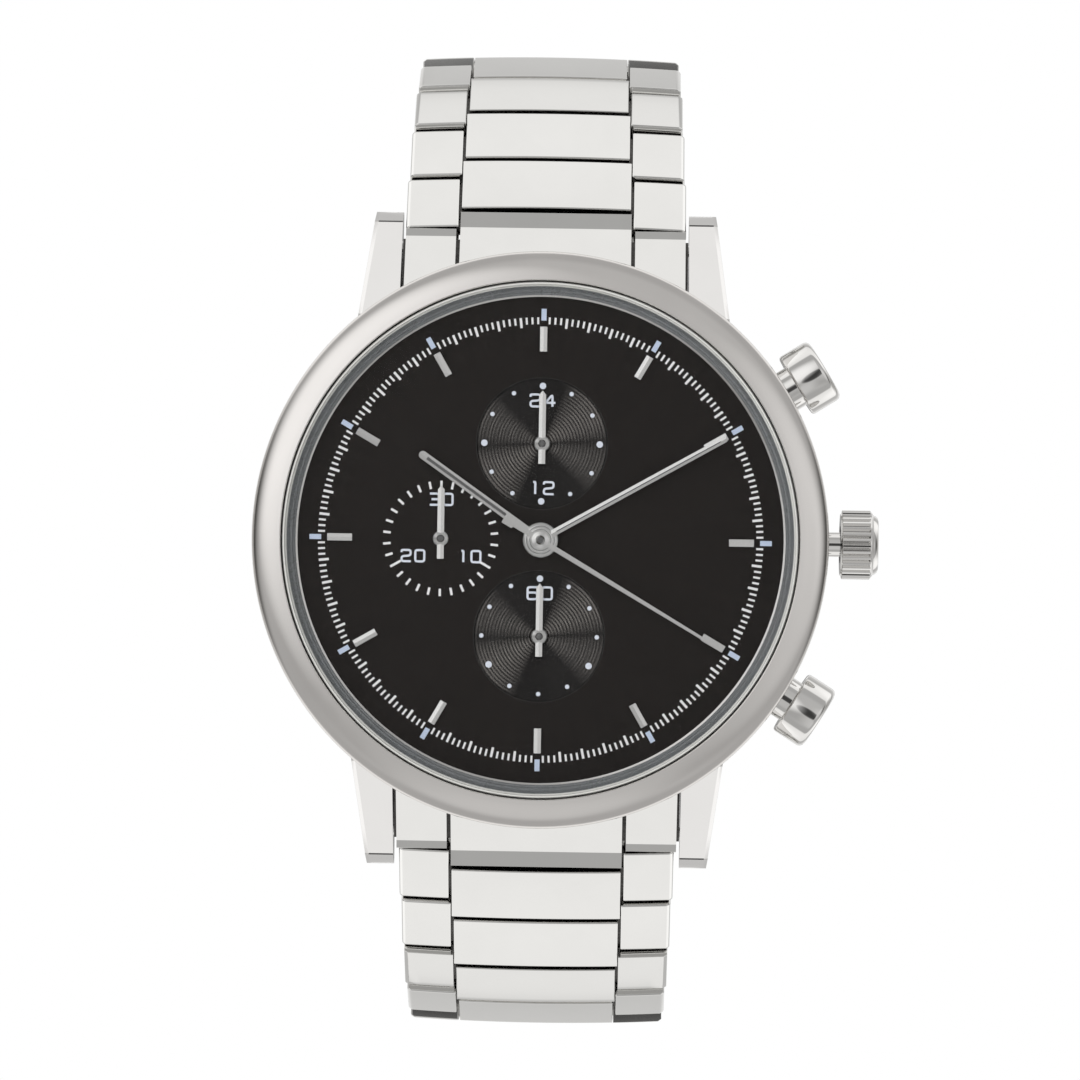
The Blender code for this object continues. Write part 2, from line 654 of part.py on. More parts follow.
def clasp():
    bow = ClaspArc()
    hinge = CLASP_HINGE_HEIGHT

    link_half = CENTRE_HALF - TAPER * UPPER_LINKS
    base = bow.band((1.3, BLADE_HINGE + 0.7), (-0.9, -0.25), (-6.9, 6.9))
    joins = bow.pair(bow.rod, 0, 0, 0.85, across=(link_half + 0.15, 6.9))
    joins += bow.pair(bow.band, (0, 1.6), (-0.85, -0.3), across=(link_half + 0.15, 6.9))
    joins += bow.pair(bow.rod, BLADE_HINGE, hinge, 0.6, across=(5.15, 6.0))
    joins += bow.pair(bow.band, (BLADE_HINGE - 0.6, BLADE_HINGE + 0.6), (-0.5, hinge), across=(5.15, 6.0))
    joins.append(bow.rod(0, 0, PIN_RADIUS, (-6.3, 6.3)))
    joins.append(bow.rod(BLADE_HINGE, hinge, HINGE_PIN, (-5.6, 5.6)))
    base = combined(base, joins)
    part("clasp_base_plate", base, BRUSHED_STEEL, placed_on(base, bow.point(0, 0)))

    blade = bow.band((COVER_HINGE, BLADE_HINGE), (hinge - 0.25, hinge + 0.25), (-5.0, 5.0))
    joins = [bow.rod(place, hinge, 0.55, (-5.0, 5.0)) for place in (COVER_HINGE, BLADE_HINGE)]
    holes = [bow.rod(place, hinge, HINGE_HOLE, (-6.0, 6.0)) for place in (COVER_HINGE, BLADE_HINGE)]
    blade = combined(blade, joins, holes)
    part("clasp_blade", blade, BRUSHED_STEEL, placed_on(blade, bow.point(BLADE_HINGE, hinge)))

    link_half = CENTRE_HALF - TAPER * LOWER_LINKS
    near = COVER_HINGE - 0.4
    cover = bow.band((near, bow.length - 1.15), (1.15, 1.9), (-9.3, 9.3))
    joins = bow.pair(bow.band, (near, bow.length - 1.0), (-0.85, 1.3), across=(8.6, 9.3))
    joins += bow.pair(bow.rod, bow.length, 0, 0.85, across=(link_half + 0.2, 9.2))
    joins += bow.pair(bow.band, (bow.length - 2.4, bow.length), (-0.8, 1.5), across=(link_half + 0.2, 9.2))
    joins += bow.pair(bow.rod, COVER_HINGE, hinge, 0.5, across=(5.15, 6.0))
    joins += bow.pair(bow.band, (near + 0.1, COVER_HINGE + 0.5), (hinge, 1.4), across=(5.15, 6.0))
    joins.append(bow.rod(COVER_HINGE, hinge, HINGE_PIN, (-5.6, 5.6)))
    cover = combined(cover, joins)
    part("clasp_cover", cover, POLISHED_STEEL, placed_on(cover, bow.point(COVER_HINGE, hinge)))


mid_case()
bezel_and_crystal()
case_back_set()
movement()
dial()
hands()
crown_set()
pusher_set("upper_pusher", PUSHER_ANGLE)
pusher_set("lower_pusher", -PUSHER_ANGLE)
bracelet()
clasp()
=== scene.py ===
"""The looks of the chronograph wristwatch: smooth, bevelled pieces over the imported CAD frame.

Pieces are modelled in millimetres in the head's frame (+X to 3 o'clock, +Y to 12 o'clock, +Z out of
the dial) or in a frame of their own that is placed in it.
"""
import math

import bmesh
import bpy
from mathutils import Matrix, Vector


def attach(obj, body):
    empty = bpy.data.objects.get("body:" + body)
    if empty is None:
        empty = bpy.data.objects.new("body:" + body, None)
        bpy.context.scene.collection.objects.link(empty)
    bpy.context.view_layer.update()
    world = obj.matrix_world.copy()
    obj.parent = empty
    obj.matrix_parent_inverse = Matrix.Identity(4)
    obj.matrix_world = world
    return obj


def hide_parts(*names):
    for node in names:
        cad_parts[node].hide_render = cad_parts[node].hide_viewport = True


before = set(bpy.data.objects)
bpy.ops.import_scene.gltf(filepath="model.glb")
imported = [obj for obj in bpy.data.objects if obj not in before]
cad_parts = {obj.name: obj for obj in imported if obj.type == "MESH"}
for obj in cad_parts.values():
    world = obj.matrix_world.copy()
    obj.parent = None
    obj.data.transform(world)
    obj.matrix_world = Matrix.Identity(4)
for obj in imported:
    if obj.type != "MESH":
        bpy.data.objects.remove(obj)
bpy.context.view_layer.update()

MM = 0.001
HEAD = Matrix.Rotation(math.radians(90), 4, "X")
ROUND = 192
SMALL_ROUND = 48

# Head sizes in millimetres, as in the CAD
CASE_RADIUS = 21.7
DIAL_RADIUS = 18.95
DIAL_HIGH = 6.6
SUB_DIAL_RADIUS = 5.03
SUB_DIAL_FLOOR = 6.45
SUB_DIAL_OFFSET = 7.38
COUNTER_OFFSET = 7.65
STEM_HEIGHT = 4.3
PUSHER_ANGLE = 32.0
INK = 0.02
# The sub-dials' turned grooves, in the mesh and as the finer rings that break up their material's painted
# highlight
GROOVE_PITCH = 0.19
GROOVE_DEPTH = 0.03
RING_PITCH = 0.25

# Bracelet sizes in millimetres, as in the CAD
FIRST_PIN = (24.0, 1.7)
PITCH = 5.2
LINK_ROUND = 0.9
LINK_TOP = 1.5
LINK_GAP = 0.08
PIN_HOLE = 0.58
CENTRE_HALF = 6.7
OUTER_HALF = 10.75
SIDE_GAP = 0.2
TAPER = 0.15
LINK_BEVEL = 0.12
# How far the rows fall away to their sides, the facet along their edges, and what the upper side pieces gain
CROWN_DROP = 0.35
SIDE_FACET = 0.26
UPPER_WIDER = 0.2
SPRING_BAR = (22.5, 2.3)
SLOPES = (38, 41.5, 54.5, 67, 93, 117, 136, 150, 162)
UPPER_LINKS = 8
LOWER_LINKS = 9
END_LINK_SLOPE = math.radians(30)
END_LINK_HALF = 10.78
CLASP_START_SLOPE = 163.0
CLASP_HINGE_HEIGHT = 0.45
COVER_HINGE = 2.9
BLADE_HINGE = 36.0

# Edges that bend by less than these, in degrees, are shaded smooth or left without a bevel
SHARP_ANGLE = 32
LINK_SHARP_ANGLE = 9
HAND_SHARP_ANGLE = 12
FACET_SHARP_ANGLE = 8
BEVEL_ANGLE = 28

# The camera in millimetres and degrees: VIEW_WIDTH is what the frame takes in at the target
CAMERA_DISTANCE = 450.0
VIEW_WIDTH = 82.07
SENSOR_WIDTH = 36
TARGET_DEPTH = -9.9
CAMERA_TURN = 0.7
CAMERA_ROLL = 0.9

# Stands an outline's (across, along) in the (Y, Z) plane
ALONG_X = Matrix(((0, 0, 1, 0), (1, 0, 0, 0), (0, 1, 0, 0), (0, 0, 0, 1)))


# Materials

def new_material(name, color, roughness, metallic=0.0):
    material = bpy.data.materials.new(name)
    material.use_nodes = True
    shader = material.node_tree.nodes["Principled BSDF"]
    shader.inputs["Base Color"].default_value = (*color, 1)
    shader.inputs["Roughness"].default_value = roughness
    shader.inputs["Metallic"].default_value = metallic
    return material, material.node_tree, shader


def add_node(tree, kind, values=(), **settings):
    node = tree.nodes.new(kind)
    for key, value in settings.items():
        setattr(node, key, value)
    for key, value in dict(values).items():
        node.inputs[key].default_value = value
    return node


def noise(tree, stretch, detail=3.0, vector=None):
    """Noise over the piece's own coordinates, stretched by a scale along each axis."""
    mapping = add_node(tree, "ShaderNodeMapping", {"Scale": stretch})
    if vector is None:
        vector = add_node(tree, "ShaderNodeTexCoord").outputs["Object"]
    tree.links.new(vector, mapping.inputs["Vector"])
    texture = add_node(tree, "ShaderNodeTexNoise", {"Scale": 1.0, "Detail": detail})
    tree.links.new(mapping.outputs["Vector"], texture.inputs["Vector"])
    return texture.outputs["Fac"]


def ranged(tree, value, low, high, start=0.3, end=0.7):
    node = add_node(tree, "ShaderNodeMapRange", {
        "From Min": start, "From Max": end, "To Min": low, "To Max": high,
    })
    tree.links.new(value, node.inputs["Value"])
    return node.outputs["Result"]


def tint(tree, shader, value, dark, light):
    ramp = add_node(tree, "ShaderNodeMix", data_type="RGBA")
    ramp.inputs["A"].default_value = (*dark, 1)
    ramp.inputs["B"].default_value = (*light, 1)
    tree.links.new(value, ramp.inputs["Factor"])
    tree.links.new(ramp.outputs["Result"], shader.inputs["Base Color"])


def vary_gloss(tree, shader, value, low, high):
    tree.links.new(ranged(tree, value, low, high), shader.inputs["Roughness"])


def relief(tree, shader, value, distance):
    bump = add_node(tree, "ShaderNodeBump", {"Strength": 1.0, "Distance": distance})
    tree.links.new(value, bump.inputs["Height"])
    tree.links.new(bump.outputs["Normal"], shader.inputs["Normal"])


def maths(tree, operation, *values):
    """A math node over sockets and numbers."""
    node = add_node(tree, "ShaderNodeMath", operation=operation)
    for socket, value in zip(node.inputs, values):
        if isinstance(value, bpy.types.NodeSocket):
            tree.links.new(value, socket)
        else:
            socket.default_value = value
    return node.outputs["Value"]


def polar(tree):
    """The piece's own coordinates as (radius, angle, height)."""
    coords = add_node(tree, "ShaderNodeTexCoord").outputs["Object"]
    split = add_node(tree, "ShaderNodeSeparateXYZ")
    tree.links.new(coords, split.inputs["Vector"])
    angle = maths(tree, "ARCTAN2", split.outputs["Y"], split.outputs["X"])
    flat = add_node(tree, "ShaderNodeCombineXYZ")
    tree.links.new(split.outputs["X"], flat.inputs["X"])
    tree.links.new(split.outputs["Y"], flat.inputs["Y"])
    length = add_node(tree, "ShaderNodeVectorMath", operation="LENGTH")
    tree.links.new(flat.outputs["Vector"], length.inputs[0])
    joined = add_node(tree, "ShaderNodeCombineXYZ")
    tree.links.new(length.outputs["Value"], joined.inputs["X"])
    tree.links.new(angle, joined.inputs["Y"])
    tree.links.new(split.outputs["Z"], joined.inputs["Z"])
    return joined.outputs["Vector"]


def grained(name, color, roughness, metallic, grain, shades, gloss, depth, about_z=False):
    """A material whose colour, roughness and relief follow one grain.

    grain is its scale along each axis and its detail. shades and gloss are the factors between which the
    colour and the roughness change. About Z, the axes are radius, angle and height.
    """
    material, tree, shader = new_material(name, color, roughness, metallic)
    level = noise(tree, *grain, polar(tree) if about_z else None)
    tint(tree, shader, level, *([min(1, c * shade) for c in color] for shade in shades))
    if gloss:
        low, high = (min(1, roughness * factor) for factor in gloss)
        vary_gloss(tree, shader, level, low, high)
    relief(tree, shader, level, depth)
    return material


def polished_metal(name, color, roughness):
    """Polished metal with faint wear: slow changes of gloss and hairline marks."""
    material, tree, shader = new_material(name, color, roughness, 1.0)
    slow = noise(tree, (300, 300, 300), 4.0)
    tint(tree, shader, slow, [c * 0.96 for c in color], [min(1, c * 1.03) for c in color])
    vary_gloss(tree, shader, slow, roughness * 0.75, roughness * 1.4)
    relief(tree, shader, noise(tree, (900, 260, 900), 6.0), 0.0000004)
    return material


def brushed_metal(name, color, roughness=0.26, along="X"):
    """Metal with a fine straight grain along one of the piece's axes."""
    stretch = [14000.0, 14000.0, 14000.0]
    stretch["XYZ".index(along)] = 260.0
    return grained(name, color, roughness, 1.0, (stretch, 3.0), (0.93, 1.04), (0.8, 1.25), 0.0000011)


def turned_metal(name, color, roughness=0.24, rings=9000.0):
    """Metal with a circular grain about the piece's own Z axis."""
    grain = ((rings, 0.5, 400.0), 3.0)
    return grained(name, color, roughness, 1.0, grain, (0.93, 1.04), (0.8, 1.25), 0.0000012, True)


def lacquer(name, color, warm, roughness):
    """Black dial lacquer with a faint warm sunray grain under it."""
    material, tree, shader = new_material(name, color, roughness)
    shader.inputs["Specular IOR Level"].default_value = 0.12
    rays = noise(tree, (30.0, 70.0, 1.0), 2.0, polar(tree))
    tint(tree, shader, rays, color, warm)
    fine = noise(tree, (9000, 9000, 9000), 2.0)
    vary_gloss(tree, shader, fine, roughness * 0.85, roughness * 1.15)
    relief(tree, shader, fine, 0.0000006)
    return material


def grooved_black(name, dark, light, roughness, painted_highlight_lobes=()):
    """Blackened metal with turned rings, with a highlight painted into its colour: brighter at fixed angles
    about its centre, in fine rings, where the grooves would catch the light.

    Each painted highlight lobe is an angle from 3 o'clock, the cosine at which it starts and its strength.
    """
    material, tree, shader = new_material(name, dark, roughness, 0.85)
    place = polar(tree)
    grain = noise(tree, (9000.0, 0.0, 0.0), 2.0, place)
    split = add_node(tree, "ShaderNodeSeparateXYZ")
    tree.links.new(place, split.inputs["Vector"])
    phase = maths(tree, "MULTIPLY", split.outputs["X"], 2 * math.pi / (RING_PITCH * MM))
    rings = maths(tree, "SINE", phase)
    level = ranged(tree, grain, 0.0, 0.05)
    # Painted highlight: the colour is brightened in lobes at fixed angles about the centre, broken into fine
    # rings
    for angle, start, strength in painted_highlight_lobes:
        twice = maths(tree, "MULTIPLY_ADD", split.outputs["Y"], 2.0, -2 * math.radians(angle))
        painted_highlight = ranged(tree, maths(tree, "COSINE", twice), 0.0, strength, start, 1.0)
        ringed_painted_highlight = maths(tree, "MULTIPLY", painted_highlight, ranged(tree, rings, 0.1, 1.0, -1.0, 1.0))
        level = maths(tree, "ADD", level, ringed_painted_highlight)
    tint(tree, shader, level, dark, light)
    vary_gloss(tree, shader, grain, roughness * 0.85, roughness * 1.2)
    relief(tree, shader, grain, 0.0000004)
    return material


def paint(name, color, roughness=0.45):
    """Printed ink with a slightly uneven surface."""
    return grained(name, color, roughness, 0.0, ((6000, 6000, 6000), 3.0), (0.94, 1), None, 0.000001)


def satin_paint(name, color, roughness):
    """A sprayed metallic grey with a fine flake."""
    grain = ((12000, 12000, 12000), 2.0)
    return grained(name, color, roughness, 0.35, grain, (0.85, 1), (0.8, 1.3), 0.0000008)


def moulded(name, color, roughness):
    """Rubber or plastic with a fine moulded grain."""
    grain = ((4000, 4000, 4000), 4.0)
    return grained(name, color, roughness, 0.0, grain, (0.85, 1), (0.9, 1.1), 0.000004)


def clear_crystal(name):
    material, tree, shader = new_material(name, (0.02, 0.02, 0.02), 0.02)
    shader.inputs["Alpha"].default_value = 0.08
    shader.inputs["IOR"].default_value = 1.77
    faint = noise(tree, (500, 500, 500), 2.0)
    vary_gloss(tree, shader, faint, 0.015, 0.03)
    return material


MATERIALS = {
    "polished": polished_metal("polished_steel", (0.80, 0.79, 0.775), 0.035),
    "bezel": polished_metal("bezel_steel", (0.80, 0.775, 0.755), 0.09),
    "link": polished_metal("link_steel", (0.80, 0.795, 0.78), 0.06),
    "lug": polished_metal("lug_steel", (0.80, 0.79, 0.78), 0.08),
    "grain_x": brushed_metal("brushed_steel_x", (0.74, 0.74, 0.73), 0.26, "X"),
    "grain_y": brushed_metal("brushed_steel_y", (0.74, 0.74, 0.73), 0.26, "Y"),
    # A dark steel that paints the shade in the gaps: the links' webs and pins and the end links' cores
    "shade": brushed_metal("painted_shade_steel", (0.16, 0.155, 0.15), 0.45, "X"),
    "turned": turned_metal("turned_steel", (0.74, 0.74, 0.73)),
    "hand": polished_metal("hand_steel", (0.97, 0.97, 0.96), 0.13),
    "hand_inset": satin_paint("hand_inset", (0.16, 0.16, 0.16), 0.35),
    "flange": satin_paint("flange_grey", (0.30, 0.315, 0.325), 0.28),
    "dial": lacquer("dial_black", (0.0120, 0.0107, 0.0102), (0.0215, 0.0180, 0.0162), 0.34),
    # The sub-dials' lighter colour and lobes paint a bow-tie highlight into the colour
    "sub_dial": grooved_black(
        "sub_dial_black", (0.020, 0.019, 0.0186), (0.30, 0.282, 0.267), 0.22,
        [(36, 0.4, 0.95), (158, 0.6, 0.42)],
    ),
    "rim": grooved_black("rim_black", (0.10, 0.097, 0.095), (0.16, 0.155, 0.15), 0.25),
    "ink": paint("dial_ink", (0.94, 0.94, 0.95)),
    "pale_ink": paint("dial_ink_pale", (0.62, 0.72, 0.90)),
    "dot_ink": paint("dial_ink_dots", (0.80, 0.85, 0.95)),
    "crystal": clear_crystal("crystal"),
    "rubber": moulded("black_rubber", (0.02, 0.02, 0.02), 0.7),
    "plastic": moulded("white_plastic", (0.72, 0.72, 0.69), 0.5),
    "brass": brushed_metal("movement_brass", (0.76, 0.60, 0.33), 0.3, "X"),
    "copper": turned_metal("coil_copper", (0.70, 0.40, 0.25), 0.35, 3000.0),
}


# Shape tools: outlines and profiles are in millimetres

def arc(centre, radius, start, end, steps):
    angles = [math.radians(start + (end - start) * i / steps) for i in range(steps + 1)]
    return [(centre[0] + radius * math.cos(a), centre[1] + radius * math.sin(a)) for a in angles]


def circle(centre, radius, steps=SMALL_ROUND):
    return arc(centre, radius, 0, 360, steps)[:-1]


def new_object(name, data):
    obj = bpy.data.objects.new(name, data)
    bpy.context.scene.collection.objects.link(obj)
    return obj


def written(shape, mesh):
    """Close an edited shape into a mesh, which is given or named."""
    if isinstance(mesh, str):
        mesh = bpy.data.meshes.new(mesh)
    shape.to_mesh(mesh)
    shape.free()
    return mesh


def opened(mesh):
    shape = bmesh.new()
    shape.from_mesh(mesh)
    return shape


def split_at(shape, x):
    """Add edges where a plane across X meets the shape."""
    everything = shape.verts[:] + shape.edges[:] + shape.faces[:]
    bmesh.ops.bisect_plane(shape, geom=everything, plane_co=(x, 0, 0), plane_no=(1, 0, 0))


def curve_mesh(curve):
    guide = new_object("guide", curve)
    bpy.context.view_layer.update()
    graph = bpy.context.evaluated_depsgraph_get()
    mesh = bpy.data.meshes.new_from_object(guide.evaluated_get(graph))
    bpy.data.objects.remove(guide)
    return mesh


def welded(mesh):
    """Join doubled points, turn the faces outward and merge flat neighbours."""
    shape = opened(mesh)
    bmesh.ops.remove_doubles(shape, verts=shape.verts, dist=1e-5)
    bmesh.ops.recalc_face_normals(shape, faces=shape.faces)
    bmesh.ops.dissolve_limit(
        shape, angle_limit=math.radians(0.5), verts=shape.verts, edges=shape.edges,
    )
    return written(shape, mesh)


def prism(outlines, low, high, along_x=False):
    """Flat outlines extruded between two heights. Outlines inside the first are holes."""
    curve = bpy.data.curves.new("outline", "CURVE")
    curve.dimensions = "2D"
    curve.fill_mode = "BOTH"
    curve.extrude = (high - low) / 2
    for outline in outlines:
        spline = curve.splines.new("POLY")
        spline.points.add(len(outline) - 1)
        for point, (across, along) in zip(spline.points, outline):
            point.co = (across, along, 0, 1)
        spline.use_cyclic_u = True
    mesh = curve_mesh(curve)
    mesh.transform(Matrix.Translation((0, 0, (low + high) / 2)))
    if along_x:
        mesh.transform(ALONG_X)
    return welded(mesh)


def turned(profile, steps=ROUND, ring=True):
    """(radius, height) points turned about Z, listed down the outer side."""
    shape = bmesh.new()
    rows = []
    for i in range(steps):
        angle = 2 * math.pi * i / steps
        row = [shape.verts.new((r * math.cos(angle), r * math.sin(angle), z)) for r, z in profile]
        rows.append(row)
    count = len(profile) if ring else len(profile) - 1
    for i in range(steps):
        here, after = rows[i], rows[(i + 1) % steps]
        for j in range(count):
            k = (j + 1) % len(profile)
            shape.faces.new((here[j], here[k], after[k], after[j]))
    bmesh.ops.remove_doubles(shape, verts=shape.verts, dist=1e-5)
    bmesh.ops.recalc_face_normals(shape, faces=shape.faces)
    return written(shape, "turned")


def ink_line(points, width, closed=False):
    """A flattened round stroke along points in the dial's plane."""
    curve = bpy.data.curves.new("stroke", "CURVE")
    curve.dimensions = "3D"
    curve.bevel_depth = width / 2
    curve.bevel_resolution = 2
    curve.use_fill_caps = True
    spline = curve.splines.new("POLY")
    spline.points.add(len(points) - 1)
    for point, (x, y) in zip(spline.points, points):
        point.co = (x, y, 0, 1)
    spline.use_cyclic_u = closed
    mesh = curve_mesh(curve)
    mesh.transform(Matrix.Diagonal((1, 1, 0.3, 1)))
    return mesh


def moved(mesh, x=0.0, y=0.0, z=0.0, turn=0.0):
    mesh.transform(Matrix.Translation((x, y, z)) @ Matrix.Rotation(math.radians(turn), 4, "Z"))
    return mesh


def joined(meshes):
    shape = bmesh.new()
    for mesh in meshes:
        shape.from_mesh(mesh)
        bpy.data.meshes.remove(mesh)
    return written(shape, "joined")


def piece(name, mesh, finish, body, nodes=(), place=Matrix.Identity(4), bevel=0.0, segments=3,
          sharp=SHARP_ANGLE):
    """Show a mesh as a piece that rides on a body and stands for CAD nodes."""
    mesh.transform(Matrix.Scale(MM, 4))
    mesh.shade_smooth()
    mesh.set_sharp_from_angle(angle=math.radians(sharp))
    mesh.materials.clear()
    mesh.materials.append(MATERIALS[finish])
    obj = new_object(name, mesh)
    obj.matrix_world = HEAD @ place
    if bevel:
        edge = obj.modifiers.new("edge", "BEVEL")
        edge.width = bevel * MM
        edge.segments = segments
        edge.limit_method = "ANGLE"
        edge.angle_limit = math.radians(BEVEL_ANGLE)
        edge.harden_normals = True
    else:
        obj.modifiers.new("even", "WEIGHTED_NORMAL").keep_sharp = True
    bpy.context.view_layer.update()
    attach(obj, body)
    if nodes:
        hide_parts(*nodes)
    return obj


def cut(obj, mesh, sharp=SHARP_ANGLE):
    """Cut a solid, given in millimetres in the piece's own frame, from a piece before it is bevelled."""
    mesh.transform(Matrix.Scale(MM, 4))
    cutter = new_object(obj.name + "_cutter", mesh)
    cutter.matrix_world = obj.matrix_world.copy()
    boolean = obj.modifiers.new("cut", "BOOLEAN")
    boolean.operation = "DIFFERENCE"
    boolean.solver = "EXACT"
    boolean.object = cutter
    while obj.modifiers[0] != boolean and len(obj.modifiers) > 1:
        obj.modifiers.move(obj.modifiers.find("cut"), 0)
    bpy.context.view_layer.update()
    graph = bpy.context.evaluated_depsgraph_get()
    others = [m for m in obj.modifiers if m.name != "cut"]
    for modifier in others:
        modifier.show_viewport = False
    graph.update()
    result = bpy.data.meshes.new_from_object(obj.evaluated_get(graph))
    obj.modifiers.remove(obj.modifiers["cut"])
    for modifier in others:
        modifier.show_viewport = True
    obj.data = result
    bpy.data.objects.remove(cutter)
    result.shade_smooth()
    result.set_sharp_from_angle(angle=math.radians(sharp))


def at_head(x=0.0, y=0.0, z=0.0, turn=0.0, tilt=0.0):
    """A place in the head's frame, in millimetres and degrees: tilt about X, then turn about Z."""
    return (
        Matrix.Translation((x * MM, y * MM, z * MM))
        @ Matrix.Rotation(math.radians(turn), 4, "Z")
        @ Matrix.Rotation(math.radians(tilt), 4, "X")
    )


def facing_out(angle=0.0):
    """A frame whose Z runs out from the case's centre at an angle from 3 o'clock."""
    return at_head(z=STEM_HEIGHT, turn=angle) @ Matrix.Rotation(math.radians(90), 4, "Y")


# Case

def lug_mesh(side, end):
    """A lug lofted along its side profile, narrower towards the tip."""
    profile = [
        (14.0, 8.3), (17.07, 8.3), (19.0, 6.79), (21.7, 4.68), (24.38, 2.6), (24.5, 2.6), (24.85, 1.78),
        (25.15, 1.1), (25.25, 0.8), (25.2, 0.35), (24.9, -0.02), (24.2, -0.05), (22.0, 0.3), (19.0, 1.1),
        (14.0, 1.8),
    ]
    shape = bmesh.new()
    rows = []
    for i, (y, z) in enumerate(profile):
        edge = 13.15 + 0.125 * (25.2 - y)
        fall = 0.3 if i < 6 else 0.3 - 0.1 * min(3, i - 5)
        points = [(11.05, z), (edge - 0.3, z), (edge - 0.02, z - fall), (edge, z - fall)]
        rows.append([shape.verts.new((side * x, end * y, high)) for x, high in points])
    shape.faces.new([row[0] for row in rows])
    shape.faces.new([row[3] for row in rows])
    for i in range(len(profile)):
        here, after = rows[i], rows[(i + 1) % len(profile)]
        for k in range(3):
            shape.faces.new((here[k], after[k], after[k + 1], here[k + 1]))
    bmesh.ops.recalc_face_normals(shape, faces=shape.faces)
    return written(shape, "lug")


def case_pieces():
    band = turned([
        (19.05, 7.38), (21.2, 7.38), (21.45, 7.33), (21.62, 7.2), (CASE_RADIUS, 7.0),
        (CASE_RADIUS, 3.6), (21.6, 3.1), (21.2, 2.4), (20.6, 1.85), (20.3, 1.72), (17.2, 1.7),
        (17.2, 6.05), (19.05, 6.05),
    ])
    case = piece("case_band", band, "turned", "case", ["mid_case"])
    cut(case, joined([
        bored(1.0, 16, 23, 0), bored(2.15, 19.15, 23, PUSHER_ANGLE), bored(2.15, 19.15, 23, -PUSHER_ANGLE),
        bored(0.65, 16, 19.3, PUSHER_ANGLE), bored(0.65, 16, 19.3, -PUSHER_ANGLE),
    ]))
    for side, side_name in ((1, "right"), (-1, "left")):
        for end, end_name in ((1, "upper"), (-1, "lower")):
            name = f"lug_{end_name}_{side_name}"
            lug = piece(name, lug_mesh(side, end), "lug", "case", bevel=0.07)
            inside = [(0, 10), (22.03, 10), (22.03, 7.46), (21.66, 7.46), (21.66, -2), (0, -2)]
            cut(lug, turned(inside, ring=False))
    dome = [(19.84, 9.925), (20.1, 9.89), (20.5, 9.835), (20.9, 9.73), (21.25, 9.61), (21.55, 9.47),
            (21.82, 9.32), (21.93, 9.23), (21.98, 9.08), (22.0, 8.85), (22.0, 7.95)]
    piece("bezel_ring", turned([
        (19.75, 9.5), (19.76, 9.82), (19.79, 9.9), *dome, (21.95, 7.65), (21.8, 7.52), (19.75, 7.5),
    ]), "bezel", "case", ["bezel"])
    gasket = [
        (19.47, 9.5), (19.5, 9.54), (19.58, 9.54), (19.61, 9.5), (19.61, 8.7), (19.69, 8.7), (19.69, 8.3),
        (19.36, 8.3), (19.36, 8.7), (19.47, 8.7),
    ]
    piece("crystal_gasket_ring", turned(gasket), "plastic", "case", ["crystal_gasket"])
    piece("crystal_disc", turned([
        (0, 9.95), (18.9, 9.95), (19.15, 9.88), (19.29, 9.7), (19.3, 9.6), (19.3, 8.3), (0, 8.3),
    ], ring=False), "crystal", "case", ["crystal"])
    lip = [(18.6, 6.94), (18.75, 6.985), (18.75, 6.68), (18.6, 6.66)]
    piece("flange_lip", turned(lip), "polished", "case")
    piece("flange_ring", turned([
        (19.33, 8.2), (19.45, 8.22), (19.65, 8.2), (19.65, 7.56), (18.98, 7.55), (18.98, 6.66),
        (18.76, 6.66), (18.76, 7.04), (18.86, 7.2), (18.9, 7.22), (18.93, 7.3), (19.06, 7.5), (19.1, 7.52),
        (19.13, 7.6), (19.28, 7.86),
    ]), "flange", "case", ["dial_flange"])
    back_pieces()


def bored(radius, low, high, angle):
    """A cutter that runs out from the case's centre at stem height."""
    mesh = turned([(0, high), (radius, high), (radius, low), (0, low)], SMALL_ROUND, ring=False)
    mesh.transform(Matrix.Translation((0, 0, STEM_HEIGHT)) @ Matrix.Rotation(math.radians(angle), 4, "Z")
                   @ Matrix.Rotation(math.radians(90), 4, "Y"))
    return mesh


def back_pieces():
    """The case back, with turned rings and six opening notches round its sloping rim."""
    back = piece("case_back_cover", turned([
        (0, 1.6), (16.2, 1.6), (16.2, 2.3), (17.0, 2.3), (17.0, 1.6), (17.5, 1.6), (17.5, 1.2),
        (18.1, 1.2), (18.1, 1.6), (18.7, 1.6), (18.8, 1.5), (18.8, 0.95), (18.7, 0.82), (17.4, 0.3),
        (17.1, 0.27), (17.0, 0.35), (16.8, 0.35), (16.7, 0.2), (15.2, 0.02), (15.0, 0.0), (14.0, 0.0),
        (13.92, 0.06), (13.7, 0.06), (13.62, 0.0), (9.6, 0.0), (9.54, 0.04), (9.42, 0.04), (9.36, 0.0),
        (0, 0),
    ], ring=False), "turned", "case", ["case_back"])
    notches = []
    for i in range(6):
        outline = [(17.3, -1.1), (19.5, -1.1), (19.5, 1.1), (17.3, 1.1)]
        notches.append(moved(prism([outline], -1, 0.75), turn=60 * i + 30))
    cut(back, joined(notches))


# Dial

